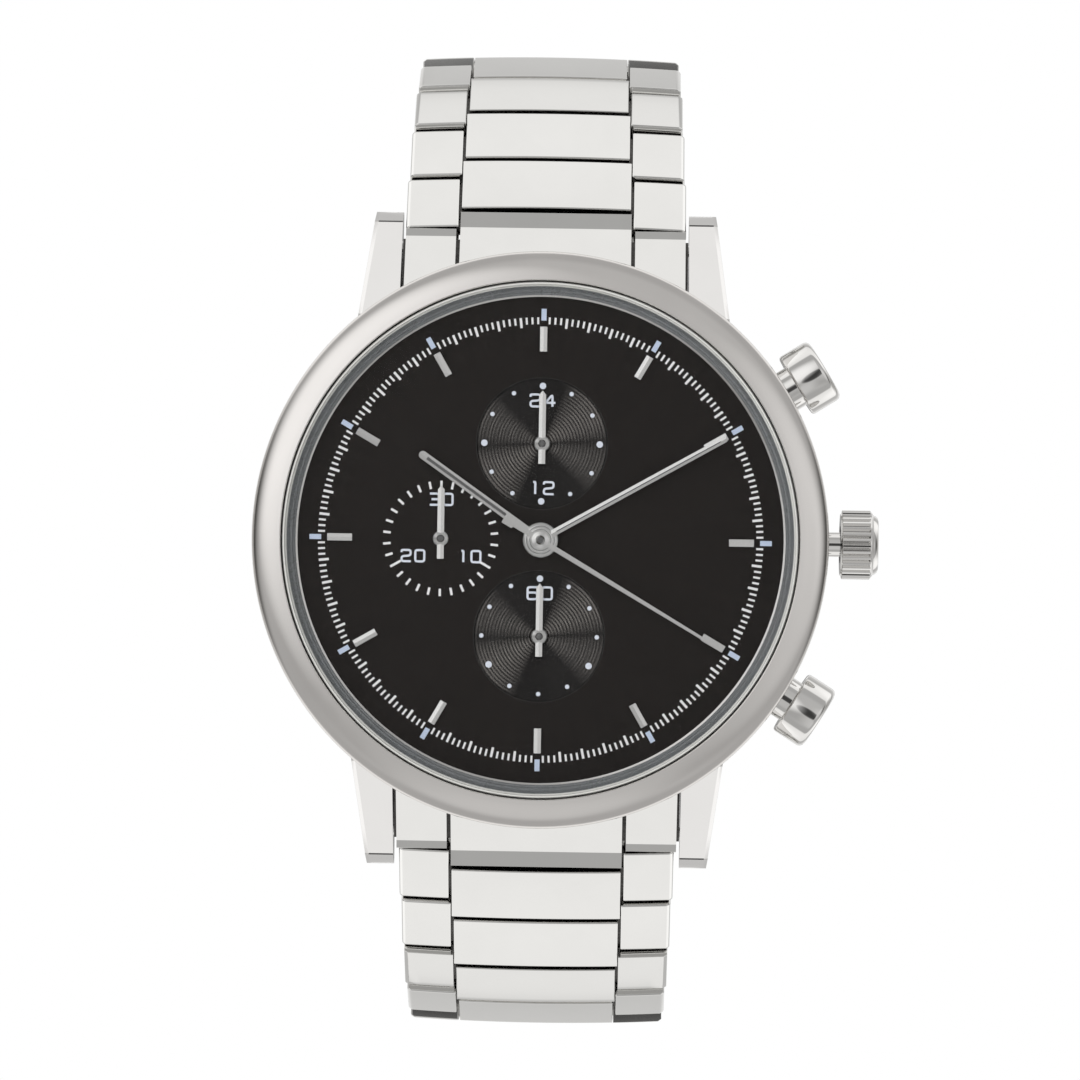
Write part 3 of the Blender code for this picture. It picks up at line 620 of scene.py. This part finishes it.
def dial_pieces():
    """The dial's face and backing, and its two sunk sub-dials with their rims."""
    recesses = [circle((0, end * SUB_DIAL_OFFSET), SUB_DIAL_RADIUS, 128) for end in (1, -1)]
    holes = [circle((0, 0), 0.9), circle((-COUNTER_OFFSET, 0), 0.3)]
    top = prism([circle((0, 0), DIAL_RADIUS, ROUND), *recesses, *holes], SUB_DIAL_FLOOR, DIAL_HIGH)
    piece("dial_face", top, "dial", "case", ["dial"])
    arbor_holes = [circle((0, end * SUB_DIAL_OFFSET), 0.3) for end in (1, -1)]
    under = prism([circle((0, 0), DIAL_RADIUS, 96), *holes, *arbor_holes], 6.15, SUB_DIAL_FLOOR - 0.04)
    piece("dial_backing", under, "brass", "case")
    for end, name in ((1, "upper"), (-1, "lower")):
        place = at_head(y=end * SUB_DIAL_OFFSET)
        piece(f"{name}_sub_dial", grooved_mesh(), "sub_dial", "case", place=place)
        rim = turned([
            (SUB_DIAL_RADIUS - 0.1, SUB_DIAL_FLOOR + 0.01), (SUB_DIAL_RADIUS - 0.02, DIAL_HIGH + 0.012),
            (SUB_DIAL_RADIUS + 0.03, DIAL_HIGH + 0.012), (SUB_DIAL_RADIUS + 0.02, SUB_DIAL_FLOOR + 0.01),
        ][::-1], 128)
        piece(f"{name}_sub_dial_rim", rim, "rim", "case", place=place)


def grooved_mesh():
    """A sub-dial's floor, with fine circular grooves."""
    outer, inner = SUB_DIAL_RADIUS - 0.01, 0.32
    under = SUB_DIAL_FLOOR - GROOVE_DEPTH
    top = [(outer, SUB_DIAL_FLOOR)]
    radius = SUB_DIAL_RADIUS - 0.08
    while radius > 0.55:
        top += [(radius, SUB_DIAL_FLOOR), (radius - GROOVE_PITCH / 2, under)]
        radius -= GROOVE_PITCH
    top.append((inner, SUB_DIAL_FLOOR))
    return turned(top[::-1] + [(outer, under), (inner, under)], 128)


def bar(inner, outer, width, angle, low=DIAL_HIGH, high=DIAL_HIGH + INK):
    """A printed or applied bar on a radius, at an angle clockwise from 12 o'clock."""
    outline = [(-width / 2, inner), (width / 2, inner), (width / 2, outer), (-width / 2, outer)]
    return moved(prism([outline], low, high), turn=-angle)


def dot(radius, x, y, floor):
    return moved(turned([(0, INK), (radius * 0.8, INK), (radius, 0), (0, 0)], 24, ring=False), x, y, floor)


def print_pieces():
    """The hour blocks, minute ticks and the counter's ticks, printed on the dial."""
    marks, blocks = [], []
    for i in range(240):
        angle = i * 1.5
        if i % 20 == 0:
            blocks.append(bar(16.8, 17.7, 0.39, angle))
        elif i % 4 == 0:
            marks.append(bar(16.28, 17.05, 0.19, angle))
        else:
            marks.append(bar(16.52, 17.05, 0.155, angle))
    piece("minute_track", joined(marks), "ink", "case")
    piece("hour_blocks", joined(blocks), "pale_ink", "case")
    ticks = []
    for i in range(30):
        angle = i * 12
        inner = 3.5 if angle in (120, 240) else 3.85
        ticks.append(moved(bar(inner, 4.42, 0.18, angle), x=-COUNTER_OFFSET))
    piece("counter_ticks", joined(ticks), "ink", "case")
    dots = []
    for end, big in ((1, (0, 90, 180, 270)), (-1, (0, 120, 240))):
        for i in range(12):
            angle = math.radians(i * 30)
            radius = 0.25 if i * 30 in big else 0.17
            x = 4.42 * math.sin(angle)
            y = 4.42 * math.cos(angle) + end * SUB_DIAL_OFFSET
            dots.append(dot(radius, x, y, SUB_DIAL_FLOOR))
    piece("sub_dial_dots", joined(dots), "dot_ink", "case")


# Each digit is strokes in a box 0.8 wide and 1 high
DIGITS = {
    "0": [([(0, 0), (0.8, 0), (0.8, 1), (0, 1)], True)],
    "1": [([(0.32, 1), (0.5, 1), (0.5, 0)], False)],
    "2": [([(0, 0.8), (0, 1), (0.8, 1), (0.8, 0.52), (0, 0.44), (0, 0), (0.82, 0)], False)],
    "3": [([(0, 1), (0.8, 1), (0.8, 0), (0, 0)], False), ([(0.15, 0.5), (0.8, 0.5)], False)],
    "4": [([(0.6, 0), (0.6, 1), (0, 0.32), (0.85, 0.32)], False)],
    "6": [([(0.8, 1), (0, 1), (0, 0), (0.8, 0), (0.8, 0.55), (0, 0.55)], False)],
}


def rounded(points, closed, radius=0.2, steps=4):
    """A path with its corners rounded."""
    result = []
    count = len(points)
    for i, point in enumerate(points):
        if not closed and i in (0, count - 1):
            result.append(point)
            continue
        here = Vector(point)
        before = Vector(points[i - 1]) - here
        after = Vector(points[(i + 1) % count]) - here
        reach = min(radius, before.length * 0.48, after.length * 0.48)
        start = here + before.normalized() * reach
        end = here + after.normalized() * reach
        for k in range(steps + 1):
            t = k / steps
            spot = start * (1 - t) ** 2 + here * 2 * t * (1 - t) + end * t ** 2
            result.append((spot.x, spot.y))
    return result


def number_mesh(text, x, y, floor, height=0.92, stroke=0.17):
    """A printed number centred on a point."""
    pitch = 1.22
    meshes = []
    for i, digit in enumerate(text):
        shift = (i - (len(text) - 1) / 2) * pitch - 0.4
        for points, closed in DIGITS[digit]:
            path = [((px + shift) * height, (py - 0.5) * height) for px, py in rounded(points, closed)]
            meshes.append(moved(ink_line(path, stroke, closed), x, y, floor))
    return joined(meshes)


def number_pieces():
    numbers = joined([
        number_mesh("24", 0, SUB_DIAL_OFFSET + 3.3, SUB_DIAL_FLOOR),
        number_mesh("12", 0, SUB_DIAL_OFFSET - 3.4, SUB_DIAL_FLOOR),
        number_mesh("60", 0, -SUB_DIAL_OFFSET + 3.3, SUB_DIAL_FLOOR),
        number_mesh("30", -COUNTER_OFFSET, 3.0, DIAL_HIGH, 0.86),
        number_mesh("20", -COUNTER_OFFSET - 2.1, -1.35, DIAL_HIGH, 0.86),
        number_mesh("10", -COUNTER_OFFSET + 2.2, -1.35, DIAL_HIGH, 0.86),
    ])
    piece("dial_numbers", numbers, "dot_ink", "case")


def index_pieces():
    """Twelve applied hour batons, bevelled and polished."""
    for hour in range(12):
        outline = [(-0.3, 14.4), (0.3, 14.4), (0.3, 16.35), (-0.3, 16.35)]
        top = DIAL_HIGH + 0.35
        baton = roofed(prism([outline], DIAL_HIGH, top), DIAL_HIGH + 0.23, top, 0.3)
        piece(f"hour_index_{hour:02d}", baton, "hand", "case", place=at_head(turn=-30 * hour), bevel=0.05,
              segments=2, sharp=FACET_SHARP_ANGLE)


# Hands

def roofed(mesh, low, high, half):
    """Raise a flat hand's middle line to a ridge: points at the outline stay low."""
    shape = opened(mesh)
    split_at(shape, 0)
    middle = (low + high) / 2
    for vert in shape.verts:
        if vert.co.z > middle:
            vert.co.z = high - (high - middle) * min(1.0, abs(vert.co.x) / half)
    return written(shape, mesh)


def hand_piece(name, outline, hub, bore, low, thickness, body, nodes, place, angle):
    """A ridged hand: a blade and a hub disc with a chamfered ring."""
    half = max(abs(x) for x, _ in outline)
    mesh = roofed(prism([outline], low, low + thickness), low, low + thickness, half)
    turned_place = place @ at_head(turn=-angle)
    piece(name + "_blade", mesh, "hand", body, nodes, turned_place, sharp=HAND_SHARP_ANGLE)
    top = low + thickness + 0.04
    ring = turned([
        (bore, top - 0.05), (bore + 0.05, top + 0.03), (hub - 0.2, top - 0.03), (hub - 0.06, top - 0.1),
        (hub, top - 0.16), (hub, low - 0.01), (bore, low - 0.01),
    ], 64)
    piece(name + "_hub", ring, "hand", body, place=turned_place, sharp=HAND_SHARP_ANGLE)


def hand_pieces():
    """The three centre hands, the inlays of two of them, and the three small hands."""
    centre = at_head()
    hour_angle, minute_angle, seconds_angle = 305, 60.5, 120.4
    half = 0.31
    hour = [(half, 0.9), (half, 11.1)] + arc((0, 11.1), half, 0, 180, 8)[1:] + [(-half, 0.9)]
    hand_piece("hour_hand", hour, 1.35, 0.85, 7.0, 0.16, "hour_train", ["hour_hand"], centre, hour_angle)
    inset = prism([[(-0.11, 3.2), (0.11, 3.2), (0.11, 10.7), (-0.11, 10.7)]], 7.13, 7.168)
    piece("hour_hand_inset", inset, "hand_inset", "hour_train", place=at_head(turn=-hour_angle))
    minute = [(0.26, 0.8), (0.24, 16.1), (0.2, 16.2), (-0.2, 16.2), (-0.24, 16.1), (-0.26, 0.8)]
    hand_piece("minute_hand", minute, 1.1, 0.58, 7.4, 0.16, "minute_train", ["minute_hand"], centre,
               minute_angle)
    inset = prism([[(-0.03, 1.4), (0.05, 1.4), (0.05, 15.7), (-0.03, 15.7)]], 7.53, 7.566)
    piece("minute_hand_inset", inset, "hand_inset", "minute_train", place=at_head(turn=-minute_angle))
    seconds = [
        (0.2, 0.6), (0.1, 15.8), (0.0, 16.0), (-0.1, 15.8), (-0.2, 0.6), (-0.22, -2.3), (-0.38, -2.35),
        (-0.38, -3.25), (0.38, -3.25), (0.38, -2.35), (0.22, -2.3),
    ][::-1]
    hand_piece("chrono_hand", seconds, 0.85, 0.3, 7.75, 0.12, "chrono_train", ["chrono_seconds_hand"],
               centre, seconds_angle)
    cap = turned([(0, 8.02), (0.2, 8.02), (0.26, 7.98), (0.26, 7.7), (0, 7.7)], 32, ring=False)
    piece("chrono_arbor_cap", cap, "hand_inset", "chrono_train")
    dials = {
        "twenty_four_hour": (0, SUB_DIAL_OFFSET),
        "small_seconds": (0, -SUB_DIAL_OFFSET),
        "minute_counter": (-COUNTER_OFFSET, 0),
    }
    half = 0.26
    outline = [(-half, -1.55), (half, -1.55), (half, 3.75), (0, 4.06), (-half, 3.75)]
    plug = [(0, 6.99), (0.1, 6.99), (0.22, 6.96), (0.238, 6.9), (0.238, 6.6), (0, 6.6)]
    for name, (x, y) in dials.items():
        body = name + "_train"
        hand_piece(name, outline, 0.6, 0.24, 6.75, 0.12, body, [name + "_hand"], at_head(x, y), 0)
        cap = turned(plug, 24, ring=False)
        piece(name + "_arbor_cap", cap, "hand_inset", body, place=at_head(x, y))


# Crown and pushers

def crown_pieces():
    """The fluted crown with its domed end and collar, and the tube in the case."""
    flutes = 34
    outline = []
    for i in range(flutes):
        start = 360 * i / flutes
        step = 360 / flutes
        outline += arc((0, 0), 2.65, start, start + step * 0.4, 2)
        outline += arc((0, 0), 2.43, start + step * 0.62, start + step * 0.78, 1)
    place = at_head(x=23.0, z=STEM_HEIGHT) @ Matrix.Rotation(math.radians(90), 4, "Y")
    inner = circle((0, 0), 1.45)
    grip = prism([outline, inner], 0.12, 2.3)
    piece("crown_grip", grip, "polished", "crown_knob", ["crown"], place, 0.07, 2)
    piece("crown_end", turned([
        (0, 2.9), (1.9, 2.9), (2.1, 2.84), (2.22, 2.7), (2.3, 2.5), (2.52, 2.38), (2.56, 2.25),
        (2.4, 2.1), (0, 2.1),
    ], 96, ring=False), "polished", "crown_knob", place=place)
    piece("crown_collar", turned([
        (1.45, 0.2), (2.35, 0.2), (2.42, 0.1), (2.35, 0.0), (1.45, 0.0),
    ], 96), "polished", "crown_knob", place=place)
    tube = turned([(0.6, 24.0), (0.94, 24.0), (0.94, 17.5), (0.6, 17.5)], 64)
    piece("crown_neck", tube, "polished", "case", ["crown_tube"], facing_out())


def pusher_pieces():
    for name, angle in (("upper", PUSHER_ANGLE), ("lower", -PUSHER_ANGLE)):
        cap = turned([
            (0, 25.46), (2.12, 25.46), (2.3, 25.42), (2.46, 25.3), (2.54, 25.12), (2.55, 25.0),
            (2.55, 23.1), (2.5, 22.95), (2.38, 22.88), (1.65, 22.87), (1.65, 20.65), (0.5, 20.65),
            (0.5, 17.4), (0, 17.4),
        ], 96, ring=False)
        place = facing_out(angle)
        piece(f"{name}_pusher_cap", cap, "polished", f"{name}_button", [f"{name}_pusher"], place)
        tube = turned([
            (1.72, 21.7), (1.95, 21.7), (2.1, 21.62), (2.1, 19.2), (0.65, 19.2), (0.65, 19.5), (1.75, 19.5),
        ], 96)
        piece(f"{name}_pusher_sleeve", tube, "polished", "case", [f"{name}_pusher_tube"], place)


# Bracelet

def chain_pins(count):
    """Where the pins of so many rows stand, from the end link out."""
    along, height = FIRST_PIN
    pins = [(along, height)]
    for slope in SLOPES[:count]:
        angle = math.radians(slope)
        along += PITCH * math.cos(angle)
        height -= PITCH * math.sin(angle)
        pins.append((along, height))
    return pins


def centre_outline(start, end):
    """The middle piece's side view, with its top falling away towards both ends."""
    far = end + LINK_ROUND
    return [
        (start, -LINK_ROUND), *arc((end, 0), LINK_ROUND, -90, -8, 10), (far, 0.2), (far, LINK_TOP - 0.34),
        (far - 0.3, LINK_TOP - 0.03), (far - 0.8, LINK_TOP), (start, LINK_TOP),
    ]


def outer_outline():
    end = PITCH - LINK_ROUND - LINK_GAP
    return [
        *arc((0, 0), LINK_ROUND, 188, 270, 10), (end, -LINK_ROUND), (end, LINK_TOP - 0.34),
        (end - 0.3, LINK_TOP - 0.03), (end - 0.8, LINK_TOP), (-LINK_ROUND, LINK_TOP), (-LINK_ROUND, 0.2),
    ]


def crowned(mesh, edge=None):
    """Cut a long piece into short spans and let it fall away towards the bracelet's sides.

    With an edge, the top also falls off in a narrow facet before that half width.
    """
    shape = opened(mesh)
    steps = list(range(-10, 11))
    if edge:
        steps += [edge - SIDE_FACET, SIDE_FACET - edge]
    for step in steps:
        split_at(shape, step)
    for vert in shape.verts:
        beyond = abs(vert.co.x) - (edge - SIDE_FACET) if edge else 0
        if beyond > 0 and vert.co.z > 0.5:
            vert.co.z -= beyond * 0.7
        vert.co.z -= CROWN_DROP * (vert.co.x / OUTER_HALF) ** 2
    return written(shape, mesh)


def link_pieces(side, row, place):
    """One bracelet row: bevelled middle and side pieces, the web between them and the pin's heads; the web
    and the pin are a dark steel that paints the shade in the gaps.
    """
    centre = CENTRE_HALF - TAPER * row
    inner = centre + SIDE_GAP
    outer = OUTER_HALF - TAPER * row + (UPPER_WIDER if side == "upper" else 0)
    start = LINK_ROUND + LINK_GAP
    body = f"{side}_row_{row}"
    name = f"{side}_link_{row}"
    hole = circle((PITCH, 0), PIN_HOLE, 24)
    middle = crowned(prism([centre_outline(start, PITCH), hole], -centre, centre, True))
    piece(name + "_middle", middle, "link", body, [name], place, LINK_BEVEL, sharp=LINK_SHARP_ANGLE)
    for sign, label in ((1, "right"), (-1, "left")):
        low, high = sorted((sign * inner, sign * outer))
        mesh = crowned(prism([outer_outline()], low, high, True), outer)
        piece(f"{name}_{label}", mesh, "link", body, place=place, bevel=LINK_BEVEL, sharp=LINK_SHARP_ANGLE)
        head = turned([(0, 0.03), (0.34, 0.03), (0.42, 0), (0.42, -0.3), (0, -0.3)], 32, ring=False)
        head.transform(Matrix.Translation((sign * outer, 0, -CROWN_DROP))
                       @ Matrix.Rotation(sign * math.radians(90), 4, "Y"))
        piece(f"{name}_{label}_pin_head", head, "grain_x", body, place=place)
    near, far = start + 0.15, PITCH - start - 0.15
    # The web and the pin are in the dark steel that paints the shade between the pieces
    web = prism([[(near, -0.7), (far, -0.7), (far, 0.55), (near, 0.55)]], -inner - 0.1, inner + 0.1, True)
    piece(name + "_web", web, "shade", body, place=place, bevel=0.05)
    pin = prism([circle((0, 0), 0.5, 24)], -inner - 0.2, inner + 0.2, True)
    piece(name + "_pin", pin, "shade", body, place=place)


def end_link_point(along, out):
    """A point given along and out from the end link's slope at its pin."""
    return (
        FIRST_PIN[0] + along * math.cos(END_LINK_SLOPE) + out * math.sin(END_LINK_SLOPE),
        FIRST_PIN[1] - along * math.sin(END_LINK_SLOPE) + out * math.cos(END_LINK_SLOPE),
    )


def end_link_pieces(side, turn):
    """An end link in three sections with grooves between them, hollowed to fit the case; a core of dark
    steel under them paints the shade in the grooves and in the gaps to the lugs.
    """
    at = end_link_point
    face = -LINK_ROUND - LINK_GAP
    place = at_head(turn=turn)
    outline = [
        (18.0, 7.75), (18.44, 7.75), (23.3, 3.95), (23.88, 3.66), at(face, LINK_TOP + 0.04),
        at(face, -LINK_ROUND), (22.8, 0.58), (18.0, 0.85),
    ]
    round_end = [at(along, out) for along, out in arc((0, 0), LINK_ROUND, -90, 0, 10)]
    tongue = [
        (18.0, 7.5), (18.42, 7.5), (24.05, 3.02), (25.26, 2.42),
        at(LINK_ROUND, LINK_TOP - 0.45), *round_end[::-1], (22.8, 0.58), (18.0, 0.85),
    ]
    pin_hole = circle(FIRST_PIN, PIN_HOLE, 24)
    bar_hole = circle(SPRING_BAR, 0.56, 24)
    middle = prism([tongue, pin_hole, bar_hole], -CENTRE_HALF + 0.1, CENTRE_HALF - 0.1, True)
    shapes = [("middle", crowned(middle), "link", 0.1)]
    for sign, label in ((1, "right"), (-1, "left")):
        low, high = sorted((sign * (CENTRE_HALF + 0.2), sign * END_LINK_HALF))
        shapes.append((label, crowned(prism([outline, bar_hole], low, high, True)), "link", 0.12))
    # The core is in the dark steel that paints the shade in the gap between the lugs and the end link
    core = [
        (19.0, 4.2), (22.0, 3.4), at(face - 0.35, LINK_TOP - 1.0), at(face - 0.35, -0.6), (22.7, 0.8),
        (19, 1.0),
    ]
    core_mesh = prism([core, circle(SPRING_BAR, 0.56, 24)], -11.0, 11.0, True)
    shapes.append(("core", core_mesh, "shade", 0.0))
    for label, mesh, finish, bevel in shapes:
        nodes = [f"{side}_end_link"] if label == "middle" else []
        obj = piece(f"{side}_end_link_{label}", mesh, finish, "case", nodes, place, bevel)
        reach = CASE_RADIUS + 0.1
        cut(obj, turned([(0, 9), (reach, 9), (reach, -2), (0, -2)], ring=False), FACET_SHARP_ANGLE)


def bracelet_pieces():
    for side, turn, count in (("upper", 0, UPPER_LINKS), ("lower", 180, LOWER_LINKS)):
        direction = 1 if turn == 0 else -1
        end_link_pieces(side, turn)
        pins = chain_pins(count)
        for row in range(1, count + 1):
            along, height = pins[row - 1]
            link_pieces(side, row, at_head(y=direction * along, z=height, turn=turn, tilt=-SLOPES[row - 1]))


# Clasp

class ClaspArc:
    """The arc from the last upper pin to the last lower pin. Points are given along and out from it."""

    def __init__(self):
        start = chain_pins(UPPER_LINKS)[-1]
        far = chain_pins(LOWER_LINKS)[-1]
        run = (-far[0] - start[0], far[1] - start[1])
        self.slope = math.radians(CLASP_START_SLOPE)
        half_turn = math.atan2(-run[1], run[0]) - self.slope
        self.radius = math.hypot(*run) / (2 * math.sin(half_turn))
        self.length = 2 * half_turn * self.radius
        self.centre = (
            start[0] - self.radius * math.sin(self.slope),
            start[1] - self.radius * math.cos(self.slope),
        )

    def point(self, along, out):
        slope = self.slope + along / self.radius
        reach = self.radius + out
        return (self.centre[0] + reach * math.sin(slope), self.centre[1] + reach * math.cos(slope))

    def outline(self, along, out, steps=24):
        places = [along[0] + (along[1] - along[0]) * i / steps for i in range(steps + 1)]
        low = [self.point(place, out[0]) for place in places]
        return low + [self.point(place, out[1]) for place in reversed(places)]

    def plate(self, along, out, across, steps=24):
        return prism([self.outline(along, out, steps)], *across, True)

    def rod(self, along, out, radius, across, bore=0.0):
        rings = [circle(self.point(along, out), radius, 32)]
        if bore:
            rings.append(circle(self.point(along, out), bore, 24))
        return prism(rings, *across, True)


def both_sides(make, *sizes, across):
    low, high = across
    return [make(*sizes, (low, high)), make(*sizes, (-high, -low))]


def clasp_pieces():
    """The folding clasp: the base, the blade and the cover, with their ears, knuckles and pins."""
    bow = ClaspArc()
    hinge = CLASP_HINGE_HEIGHT
    half = CENTRE_HALF - TAPER * UPPER_LINKS + 0.15
    base = bow.plate((1.3, BLADE_HINGE + 0.7), (-0.9, -0.25), (-6.9, 6.9))
    piece("clasp_base", base, "grain_y", "clasp_base", ["clasp_base_plate"], bevel=0.12)
    ears = both_sides(bow.rod, 0, 0, 0.85, across=(half, 6.9))
    ears += both_sides(bow.plate, (0, 1.6), (-0.84, -0.3), across=(half, 6.9))
    ears += both_sides(bow.rod, BLADE_HINGE, hinge, 0.6, across=(5.15, 6.0))
    ears += both_sides(bow.plate, (BLADE_HINGE - 0.6, BLADE_HINGE + 0.6), (-0.5, hinge), across=(5.15, 6.0))
    piece("clasp_base_ears", joined(ears), "polished", "clasp_base", bevel=0.06)
    pins = [bow.rod(0, 0, 0.5, (-6.3, 6.3)), bow.rod(BLADE_HINGE, hinge, 0.3, (-6.04, 6.04))]
    piece("clasp_base_pins", joined(pins), "grain_x", "clasp_base")

    blade = bow.plate((COVER_HINGE + 0.45, BLADE_HINGE - 0.45), (hinge - 0.25, hinge + 0.25), (-5.0, 5.0))
    piece("clasp_middle_blade", blade, "grain_y", "clasp_middle", ["clasp_blade"], bevel=0.1)
    knuckles = [bow.rod(place, hinge, 0.55, (-5.0, 5.0), 0.36) for place in (COVER_HINGE, BLADE_HINGE)]
    piece("clasp_middle_knuckles", joined(knuckles), "polished", "clasp_middle", bevel=0.06)

    near = COVER_HINGE - 0.4
    far = bow.length - 1.15
    half = CENTRE_HALF - TAPER * LOWER_LINKS + 0.2
    shell = bow.plate((near, far), (1.15, 1.84), (-9.3, 9.3))
    piece("clasp_cover_shell", shell, "grain_y", "clasp_outer", ["clasp_cover"], bevel=0.16)
    raised = bow.plate((near + 2.2, far - 2.2), (1.7, 1.9), (-5.2, 5.2))
    piece("clasp_cover_raised", raised, "polished", "clasp_outer", bevel=0.1)
    skirts = both_sides(bow.plate, (near, bow.length - 1.0), (-0.85, 1.3), across=(8.6, 9.28))
    piece("clasp_cover_skirts", joined(skirts), "polished", "clasp_outer", bevel=0.12)
    ears = both_sides(bow.rod, bow.length, 0, 0.85, across=(half, 9.2))
    ears += both_sides(bow.plate, (bow.length - 2.4, bow.length), (-0.8, 1.5), across=(half, 9.2))
    ears += both_sides(bow.rod, COVER_HINGE, hinge, 0.5, across=(5.15, 6.0))
    ears += both_sides(bow.plate, (near + 0.1, COVER_HINGE + 0.5), (hinge, 1.3), across=(5.15, 6.0))
    piece("clasp_cover_ears", joined(ears), "polished", "clasp_outer", bevel=0.06)
    piece("clasp_cover_pin", bow.rod(COVER_HINGE, hinge, 0.3, (-6.04, 6.04)), "grain_x", "clasp_outer")


# Nodes that keep their CAD shape

def finish_nodes():
    """Give each CAD node that still shows its finish. What isn't listed is the movement's brass."""
    finishes = {
        "crystal_gasket": "plastic", "movement_ring": "plastic", "case_back_gasket": "rubber",
        "crown_gasket": "rubber", "coil": "copper", "battery": "polished",
        "winding_stem": "grain_x", "upper_spring_bar": "grain_x", "lower_spring_bar": "grain_x",
        "upper_pusher_spring": "polished", "lower_pusher_spring": "polished",
    }
    for name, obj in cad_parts.items():
        if obj.hide_render:
            continue
        material = MATERIALS[finishes.get(name, "brass")]
        for slot in obj.material_slots:
            slot.material = material


# Studio

def camera():
    """A long lens in front of the dial, turned and rolled as in the photograph."""
    data = bpy.data.cameras.new("camera")
    data.sensor_width = SENSOR_WIDTH
    data.lens = SENSOR_WIDTH * CAMERA_DISTANCE / VIEW_WIDTH
    data.clip_start = 0.01
    data.clip_end = 10
    obj = new_object("camera", data)
    turn = math.radians(CAMERA_TURN)
    back = Vector((math.sin(turn), -math.cos(turn), 0.0))
    place = Vector((0, TARGET_DEPTH, 0)) * MM + back * CAMERA_DISTANCE * MM
    obj.matrix_world = (
        Matrix.Translation(place) @ back.to_track_quat("Z", "Y").to_matrix().to_4x4()
        @ Matrix.Rotation(math.radians(CAMERA_ROLL), 4, "Z")
    )
    bpy.context.scene.camera = obj


def area_light(name, place, target, size, power):
    data = bpy.data.lights.new(name, "AREA")
    data.shape = "RECTANGLE"
    data.size, data.size_y = size
    data.energy = power
    obj = new_object(name, data)
    obj.location = place
    direction = Vector(target) - Vector(place)
    obj.rotation_euler = direction.to_track_quat("-Z", "Y").to_euler()
    return obj


# The studio that the metal reflects: brightness at angles in degrees from the direction of the lens, where
# 180 is behind the watch
TENT = [
    (180, 0.34), (171, 0.4), (163, 0.95), (154, 0.9), (146, 0.7), (130, 0.56), (121, 0.5), (116, 0.95),
    (84, 1.02), (74, 0.96), (69, 0.46), (54, 0.46), (44, 0.54), (14, 0.55), (11.5, 0.08), (0, 0.05),
]
# Soft boxes added to it, darkening where the gain is negative: azimuth from 3 o'clock, tilt from the lens
# and reach, all in degrees, and gain
SOFT_BOXES = [
    (150, 32, 32, 0.55), (0, 32, 28, 0.24), (265, 32, 22, 0.1), (210, 32, 24, -0.1), (330, 32, 24, -0.12),
    (0, 92, 42, -0.55), (180, 92, 42, -0.55), (0, 92, 7, -0.2), (180, 92, 7, -0.2),
    (40, 104, 28, 0.22), (140, 104, 28, 0.22), (220, 104, 28, 0.22), (320, 104, 28, 0.22),
]


def studio():
    """The reflected tent and soft boxes, a white backdrop for the camera, a fill light and the floor."""
    world = bpy.data.worlds.new("studio")
    bpy.context.scene.world = world
    world.use_nodes = True
    tree = world.node_tree
    background = tree.nodes["Background"]
    direction = add_node(tree, "ShaderNodeTexCoord").outputs["Generated"]
    front = add_node(tree, "ShaderNodeVectorMath", {1: (0, -1, 0)}, operation="DOT_PRODUCT")
    tree.links.new(direction, front.inputs[0])
    ramp = add_node(tree, "ShaderNodeValToRGB")
    place = add_node(tree, "ShaderNodeMapRange", {"From Min": -1.0, "From Max": 1.0})
    tree.links.new(front.outputs["Value"], place.inputs["Value"])
    tree.links.new(place.outputs["Result"], ramp.inputs["Fac"])
    stops = [((math.cos(math.radians(angle)) + 1) / 2, level) for angle, level in TENT]
    ramp.color_ramp.elements[0].position = stops[0][0]
    ramp.color_ramp.elements[1].position = stops[-1][0]
    for position, _ in stops[1:-1]:
        ramp.color_ramp.elements.new(position)
    for element, (_, level) in zip(ramp.color_ramp.elements, stops):
        element.color = (level, level * 0.995, level * 0.985, 1)
    level = ramp.outputs["Color"]
    for azimuth, tilt, reach, gain in SOFT_BOXES:
        around, out = math.radians(azimuth), math.radians(tilt)
        axis = (math.sin(out) * math.cos(around), -math.cos(out), math.sin(out) * math.sin(around))
        near = add_node(tree, "ShaderNodeVectorMath", {1: axis}, operation="DOT_PRODUCT")
        tree.links.new(direction, near.inputs[0])
        box = add_node(tree, "ShaderNodeMapRange", {
            "From Min": math.cos(math.radians(reach)), "From Max": 1.0, "To Min": 0.0, "To Max": gain,
        }, interpolation_type="SMOOTHSTEP")
        tree.links.new(near.outputs["Value"], box.inputs["Value"])
        total = add_node(tree, "ShaderNodeVectorMath", operation="ADD")
        tree.links.new(level, total.inputs[0])
        tree.links.new(box.outputs["Result"], total.inputs[1])
        level = total.outputs["Vector"]
    tree.links.new(level, background.inputs["Color"])
    backdrop = add_node(tree, "ShaderNodeBackground", {"Color": (1, 1, 1, 1)})
    chosen = add_node(tree, "ShaderNodeMixShader")
    tree.links.new(add_node(tree, "ShaderNodeLightPath").outputs["Is Camera Ray"], chosen.inputs["Fac"])
    tree.links.new(background.outputs["Background"], chosen.inputs[1])
    tree.links.new(backdrop.outputs["Background"], chosen.inputs[2])
    tree.links.new(chosen.outputs["Shader"], tree.nodes["World Output"].inputs["Surface"])
    bpy.context.scene.view_settings.view_transform = "Standard"
    fill = area_light("fill", (-0.15, -0.8, 0.15), (0, 0, 0), (0.5, 0.5), 3.2)
    fill.visible_glossy = False
    size = 1.5
    mesh = bpy.data.meshes.new("floor")
    corners = [(-size, -size, 0), (size, -size, 0), (size, size, 0), (-size, size, 0)]
    mesh.from_pydata(corners, [], [(0, 1, 2, 3)])
    floor = new_object("floor", mesh)
    floor.location = (0, 0, -0.25)
    floor.visible_glossy = False
    mesh.materials.append(paint("floor_white", (0.98, 0.98, 0.98), 0.9))


for make in (
    case_pieces, dial_pieces, print_pieces, number_pieces, index_pieces, hand_pieces, crown_pieces,
    pusher_pieces, bracelet_pieces, clasp_pieces, finish_nodes, camera, studio,
):
    make()
